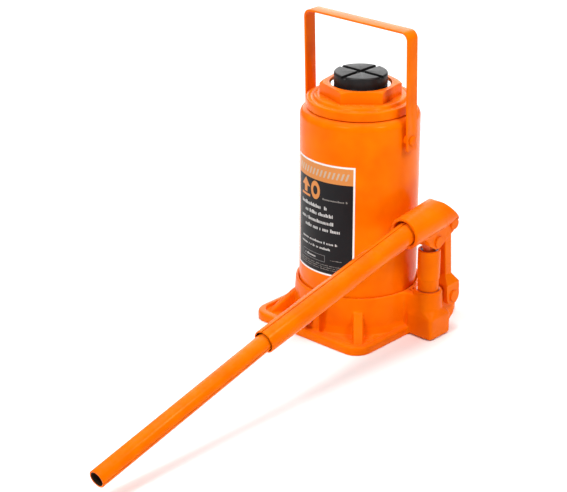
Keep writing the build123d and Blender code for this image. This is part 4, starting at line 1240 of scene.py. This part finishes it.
@dataclass
class Pins(Assembly):
    """The linkage's headed pins and the bail's screws."""

    head_rounding: float = 0.55 * MM
    head: float = 1.8 * MM
    clip_groove: tuple[float, float] = (1.8 * MM, 2.8 * MM)
    groove_depth: float = 0.7 * MM
    screw_head: float = 1.7 * MM
    screw_head_radius: float = 4.4 * MM
    screw_shank: float = 3.0 * MM
    screw_gap: float = 0.1 * MM

    def build(self) -> None:
        """Build each pin, and both screws from one."""
        sizes = (
            ("plunger_pin", Body.SOCKET, 4.0 * MM),
            ("link_top_pin", Body.SOCKET, 3.5 * MM),
            ("link_base_pin", Body.LINK, 4.0 * MM),
        )
        for node, body, radius in sizes:
            self._pin(node, body, radius)
        self._screws()

    def _pin(self, node: str, body: Body, radius: float) -> None:
        """Headed pin along X with a groove for its clip."""
        low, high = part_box(node)
        length = high.x - low.x
        head_radius = (high.z - low.z) / 2
        under = length - self.head
        near, far = self.clip_groove
        root = radius - self.groove_depth
        line = rounded_profile(
            [
                (root, 0.0, 0.0),
                (radius, self.groove_depth, 0.0),
                (radius, near, 0.0),
                (root, near, 0.0),
                (root, far, 0.0),
                (radius, far, 0.0),
                (radius, under, 0.0),
                (head_radius, under, 0.25 * MM),
                (head_radius, length, self.head_rounding),
                (0.2 * MM, length, 0.0),
            ]
        )
        middle = (low.x, (low.y + high.y) / 2, (low.z + high.z) / 2)
        pin = turned(node + "_headed", line, axis_frame(middle, (1, 0, 0), (0, 0, 1)), 64)
        self.settle(pin, STEEL_ENAMEL, body, node)

    def _screws(self) -> None:
        """Bail screws with low rounded heads, one on each side of the tank."""
        low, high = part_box("bail_screws")
        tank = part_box("reservoir_tank")[1].x
        length = high.x - tank - self.screw_gap
        line = rounded_profile(
            [
                (self.screw_shank, 0.0, 0.0),
                (self.screw_shank, length - self.screw_head, 0.0),
                (self.screw_head_radius, length - self.screw_head, 0.3 * MM),
                (self.screw_head_radius, length - 0.6 * MM, 0.5 * MM),
                (self.screw_head_radius - 1.4 * MM, length, 1.0 * MM),
                (0.2 * MM, length, 0.0),
            ]
        )
        height = (low.z + high.z) / 2
        for side, name in ((1, "bail_screw_pump_side"), (-1, "bail_screw_far_side")):
            start = (side * (tank + self.screw_gap), 0.0, height)
            screw = turned(name, line, axis_frame(start, (side, 0, 0), (0, 0, 1)), 64)
            self.settle(screw, STEEL_ENAMEL, Body.TANK, "bail_screws")


@dataclass
class HandleTube(Assembly):
    """One tube of the handle, rolled from strip so that a narrow seam runs its whole length."""

    node: str
    body: Body
    radius: float
    wall: float
    slope: float
    seam_towards: tuple[float, float, float]
    segments: int = 60
    edge: float = 0.42 * MM
    bore_margin: float = 0.15 * MM

    def build(self) -> None:
        """Roll the tube: an open circle is drawn out along the handle and given its wall."""
        low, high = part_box(self.node)
        along = Vector((0.0, -math.cos(self.slope), -math.sin(self.slope)))
        across = self.radius * Vector((0.0, math.sin(self.slope), math.cos(self.slope)))
        start = Vector(((low.x + high.x) / 2, high.y - across.y, high.z - across.z))
        end = Vector((start.x, low.y + across.y, low.z + across.z))
        length = (end - start).length
        Bench.clear()
        bpy.ops.mesh.primitive_circle_add(
            vertices=self.segments, radius=self.radius, rotation=(0.0, 0.0, math.pi / self.segments)
        )
        tube = Bench.named(self.node + "_rolled")
        bpy.ops.object.transform_apply(location=True, rotation=True, scale=True)
        seam = 0.9985 * self.radius
        with Bench.editing(tube):
            Bench.pick(tube, "edges", lambda point: point.x > seam)
            bpy.ops.mesh.delete(type="EDGE_FACE")
            bpy.ops.mesh.select_mode(type="EDGE")
            bpy.ops.mesh.select_all(action="SELECT")
            lift = (0.0, 0.0, length)
            bpy.ops.mesh.extrude_edges_move(TRANSFORM_OT_translate={"value": lift})
            bpy.ops.mesh.select_all(action="SELECT")
            bpy.ops.mesh.normals_make_consistent(inside=False)
        self._face_outwards(tube)
        Bench.modify(tube, "SOLIDIFY", thickness=self.wall, offset=-1.0, use_even_offset=True)
        Bench.break_edges(tube, self.edge, 50.0)
        Bench.finish(tube, 30.0)
        Bench.place(tube, axis_frame(start, along, self.seam_towards))
        # This finish paints shade into the tube's bore.
        finish = TubeEnamelShadedBore(
            self.node + "_enamel",
            *astuple(STEEL_ENAMEL)[1:],
            start=tuple(start),
            along=tuple(along),
            bore=self.radius - self.wall + self.bore_margin,
        )
        self.settle(tube, finish, self.body, self.node)

    @staticmethod
    def _face_outwards(tube: bpy.types.Object) -> None:
        """Turn the open tube's faces away from its axis."""
        face = tube.data.polygons[0]
        outward = Vector((face.center.x, face.center.y, 0.0))
        if face.normal.dot(outward) < 0.0:
            with Bench.editing(tube):
                bpy.ops.mesh.select_all(action="SELECT")
                bpy.ops.mesh.flip_normals()


@dataclass
class Bail(Assembly):
    """The carrying bail: one strap bent to a tall U."""

    strap: float = 1.8 * MM
    width: float = 13.4 * MM
    foot_corner: float = 2.0 * MM
    corner: float = 7.5 * MM
    lean: float = math.radians(1.6)
    pivot: float = 188.5 * MM
    leg_end: float = 9.5 * MM
    hole: float = 3.05 * MM
    corner_steps: int = 10
    edge: float = 0.45 * MM

    def build(self) -> None:
        """Draw one edge of the strap up, round the corners and down again, then give it its wall."""
        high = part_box("bail")[1]
        middle = high.x - self.strap / 2
        rise = (high.z - self.pivot) / math.cos(self.lean) - self.strap / 2
        turn_radius = self.corner - self.strap / 2
        shoulder = rise - turn_radius
        Bench.clear()
        foot = (shoulder - self.leg_end) / 2
        bpy.ops.mesh.primitive_plane_add(
            size=1.0, location=(-middle, 0.0, foot), rotation=(0.0, math.pi / 2, 0.0)
        )
        strap = Bench.named("bail_strap")
        strap.scale = (shoulder + self.leg_end, self.width, 1.0)
        bpy.ops.object.transform_apply(location=True, rotation=True, scale=True)
        span = 2 * (middle - turn_radius)
        with Bench.editing(strap):
            Bench.pick(strap, "edges", lambda point: point.z > shoulder - TINY)
            self._bend(-middle + turn_radius, shoulder)
            bpy.ops.mesh.extrude_edges_move(TRANSFORM_OT_translate={"value": (span, 0.0, 0.0)})
            self._bend(middle - turn_radius, shoulder)
            drop = (0.0, 0.0, -(shoulder + self.leg_end))
            bpy.ops.mesh.extrude_edges_move(TRANSFORM_OT_translate={"value": drop})
            Bench.pick(strap, "verts", lambda point: point.z < -self.leg_end + TINY)
            bpy.ops.mesh.bevel(offset=self.foot_corner, segments=6, affect="VERTICES")
            bpy.ops.mesh.select_all(action="SELECT")
            bpy.ops.mesh.remove_doubles(threshold=TINY)
            bpy.ops.mesh.normals_make_consistent(inside=False)
        Bench.modify(strap, "SOLIDIFY", thickness=self.strap, offset=0.0, use_even_offset=True)
        frame = Matrix.Translation((0.0, 0.0, self.pivot)) @ Matrix.Rotation(self.lean, 4, "X")
        drill = turned(
            "bail_drill",
            [(self.hole, -middle - 5 * MM), (self.hole, middle + 5 * MM)],
            axis_frame((0, 0, 0), (1, 0, 0), (0, 0, 1)),
            48,
        )
        Bench.cut(strap, drill)
        Bench.break_edges(strap, self.edge, 40.0)
        Bench.finish(strap, 32.0)
        Bench.place(strap, frame)
        self.settle(strap, STEEL_ENAMEL, Body.BAIL, "bail")

    def _bend(self, centre_x: float, centre_z: float) -> None:
        """Spin the selected edge a quarter turn towards +X round a centre."""
        bpy.ops.mesh.spin(
            steps=self.corner_steps,
            angle=-math.pi / 2,
            center=(centre_x, 0.0, centre_z),
            axis=(0.0, 1.0, 0.0),
        )


@dataclass
class Pump(Assembly):
    """The pump cylinder, with broken edges above its neck, and the rods that took some overspray."""

    neck_top: float = 56.4 * MM
    bore: float = 6.05 * MM
    mouth: float = 8.2 * MM
    mouth_depth: float = 4.0 * MM

    def build(self) -> None:
        """Turn the cylinder with a soft step between its neck and its body."""
        low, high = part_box("pump_cylinder")
        radius = (high.x - low.x) / 2
        neck = radius - 0.75 * MM
        step = high.z - self.mouth_depth
        line = rounded_profile(
            [
                (self.bore, low.z, 0.0),
                (neck, low.z, 0.4 * MM),
                (neck, self.neck_top - 0.4 * MM, 0.5 * MM),
                (radius, self.neck_top, 0.5 * MM),
                (radius, high.z, 1.0 * MM),
                (self.mouth, high.z, 0.3 * MM),
                (self.mouth, step, 0.0),
                (self.bore, step, 0.0),
                (self.bore, low.z, 0.0),
            ]
        )
        PAINTED_ROD.dress(self.nodes["pump_plunger"])
        PAINTED_VALVE.dress(self.nodes["release_valve"])
        middle = ((low.x + high.x) / 2, (low.y + high.y) / 2, 0.0)
        cylinder = turned("pump_cylinder_turned", line, Matrix.Translation(middle))
        self.settle(cylinder, STEEL_ENAMEL, Body.TANK, "pump_cylinder")


# ------------------------------------------------------------------ studio
@dataclass
class Lamp:
    """A soft area lamp, placed by direction and distance from the jack's middle."""

    name: str
    azimuth: float
    elevation: float
    distance: float
    size: float
    power: float


@dataclass
class Studio:
    """Pale floor, soft lamps and the camera."""

    middle: tuple[float, float, float] = (0.02, -0.06, 0.12)
    floor_reach: float = 30.0
    floor_colour: tuple[float, float, float] = (0.97, 0.97, 0.97)
    sky: float = 0.27
    lens: float = 113.77
    sensor: float = 36.0
    shift: tuple[float, float] = (-0.01385, 0.00205)
    station: tuple[float, float, float] = (1.00133, -1.18953, 0.73319)
    tilt: float = math.radians(66.8)
    heading: float = math.radians(42.41)

    def build(self) -> None:
        """Build the floor, the sky, the lamps and the camera."""
        self._floor()
        self._sky()
        lamps = (
            Lamp("key_softbox", -89.0, 50.0, 1.5, 0.45, 13.5),
            Lamp("side_softbox", 2.0, 48.0, 1.5, 0.35, 10.5),
            Lamp("top_softbox", 140.0, 80.0, 1.6, 1.2, 9.0),
            Lamp("back_softbox", 132.0, 28.0, 1.8, 2.0, 22.0),
        )
        for lamp in lamps:
            self._lamp(lamp)
        self._camera()

    def _floor(self) -> None:
        """Plain pale floor under the jack."""
        Bench.clear()
        bpy.ops.mesh.primitive_plane_add(size=self.floor_reach, location=(0.0, 0.0, 0.0))
        floor = Bench.named("floor")
        material = bpy.data.materials.new("pale_floor")
        material.use_nodes = True
        wiring = Wiring(material.node_tree)
        surface = wiring.surface(Base_Color=self.floor_colour, Roughness=0.85)
        surface.inputs["Specular IOR Level"].default_value = 0.1
        floor.data.materials.append(material)

    def _sky(self) -> None:
        """Even white surroundings."""
        world = bpy.data.worlds.new("studio_white")
        world.use_nodes = True
        background = world.node_tree.nodes["Background"]
        background.inputs["Color"].default_value = (1.0, 1.0, 1.0, 1.0)
        background.inputs["Strength"].default_value = self.sky
        bpy.context.scene.world = world
        bpy.context.scene.view_settings.view_transform = "Standard"

    def _lamp(self, lamp: Lamp) -> None:
        """Hang a lamp that faces the jack's middle."""
        azimuth, elevation = math.radians(lamp.azimuth), math.radians(lamp.elevation)
        back = Vector(
            (
                math.cos(azimuth) * math.cos(elevation),
                math.sin(azimuth) * math.cos(elevation),
                math.sin(elevation),
            )
        )
        light = bpy.data.lights.new(lamp.name, "AREA")
        light.shape = "DISK"
        light.size = lamp.size
        light.energy = lamp.power
        holder = bpy.data.objects.new(lamp.name, light)
        holder.location = Vector(self.middle) + back * lamp.distance
        holder.rotation_euler = (-back).to_track_quat("-Z", "Y").to_euler()
        bpy.context.scene.collection.objects.link(holder)

    def _camera(self) -> None:
        """Camera that looks down at the jack from its front right."""
        camera = bpy.data.cameras.new("studio_camera")
        camera.lens = self.lens
        camera.sensor_width = self.sensor
        camera.shift_x, camera.shift_y = self.shift
        camera.clip_start, camera.clip_end = 0.01, 100.0
        holder = bpy.data.objects.new("studio_camera", camera)
        holder.location = self.station
        holder.rotation_euler = (self.tilt, 0.0, self.heading)
        bpy.context.scene.collection.objects.link(holder)
        bpy.context.scene.camera = holder


# ------------------------------------------------------------------ the whole jack
def dress_nodes(frame: dict[str, Any]) -> None:
    """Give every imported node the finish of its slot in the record.
    """
    by_slot = {finish.slot.value: finish for finish in PLAIN_FINISHES}
    for row in frame["record"]["subparts"]:
        finish = by_slot.get(row["material_slot"])
        if finish:
            finish.dress(frame["nodes"][row["node"]])


def main() -> None:
    """Load the frame, build every sub-assembly and the studio, and note the sizes."""
    logging.basicConfig(level=logging.INFO, format="%(name)s: %(message)s")
    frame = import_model()
    nodes = frame["nodes"]
    dress_nodes(frame)
    handle = (
        HandleTube(
            nodes,
            "handle_outer_tube",
            Body.UPPER_HANDLE,
            10.5 * MM,
            1.5 * MM,
            math.radians(12.2),
            (-0.03, -0.211, 0.977),
        ),
        HandleTube(
            nodes,
            "handle_inner_tube",
            Body.LOWER_HANDLE,
            7.9 * MM,
            1.6 * MM,
            math.radians(14.4),
            (0.98, 0.05, -0.194),
        ),
    )
    assemblies = (
        Castings(nodes),
        Reservoir(nodes),
        Head(nodes),
        Pins(nodes),
        *handle,
        Bail(nodes),
        Pump(nodes),
    )
    for assembly in assemblies:
        assembly.build()
    Studio().build()


if __name__ == "__main__":
    main()
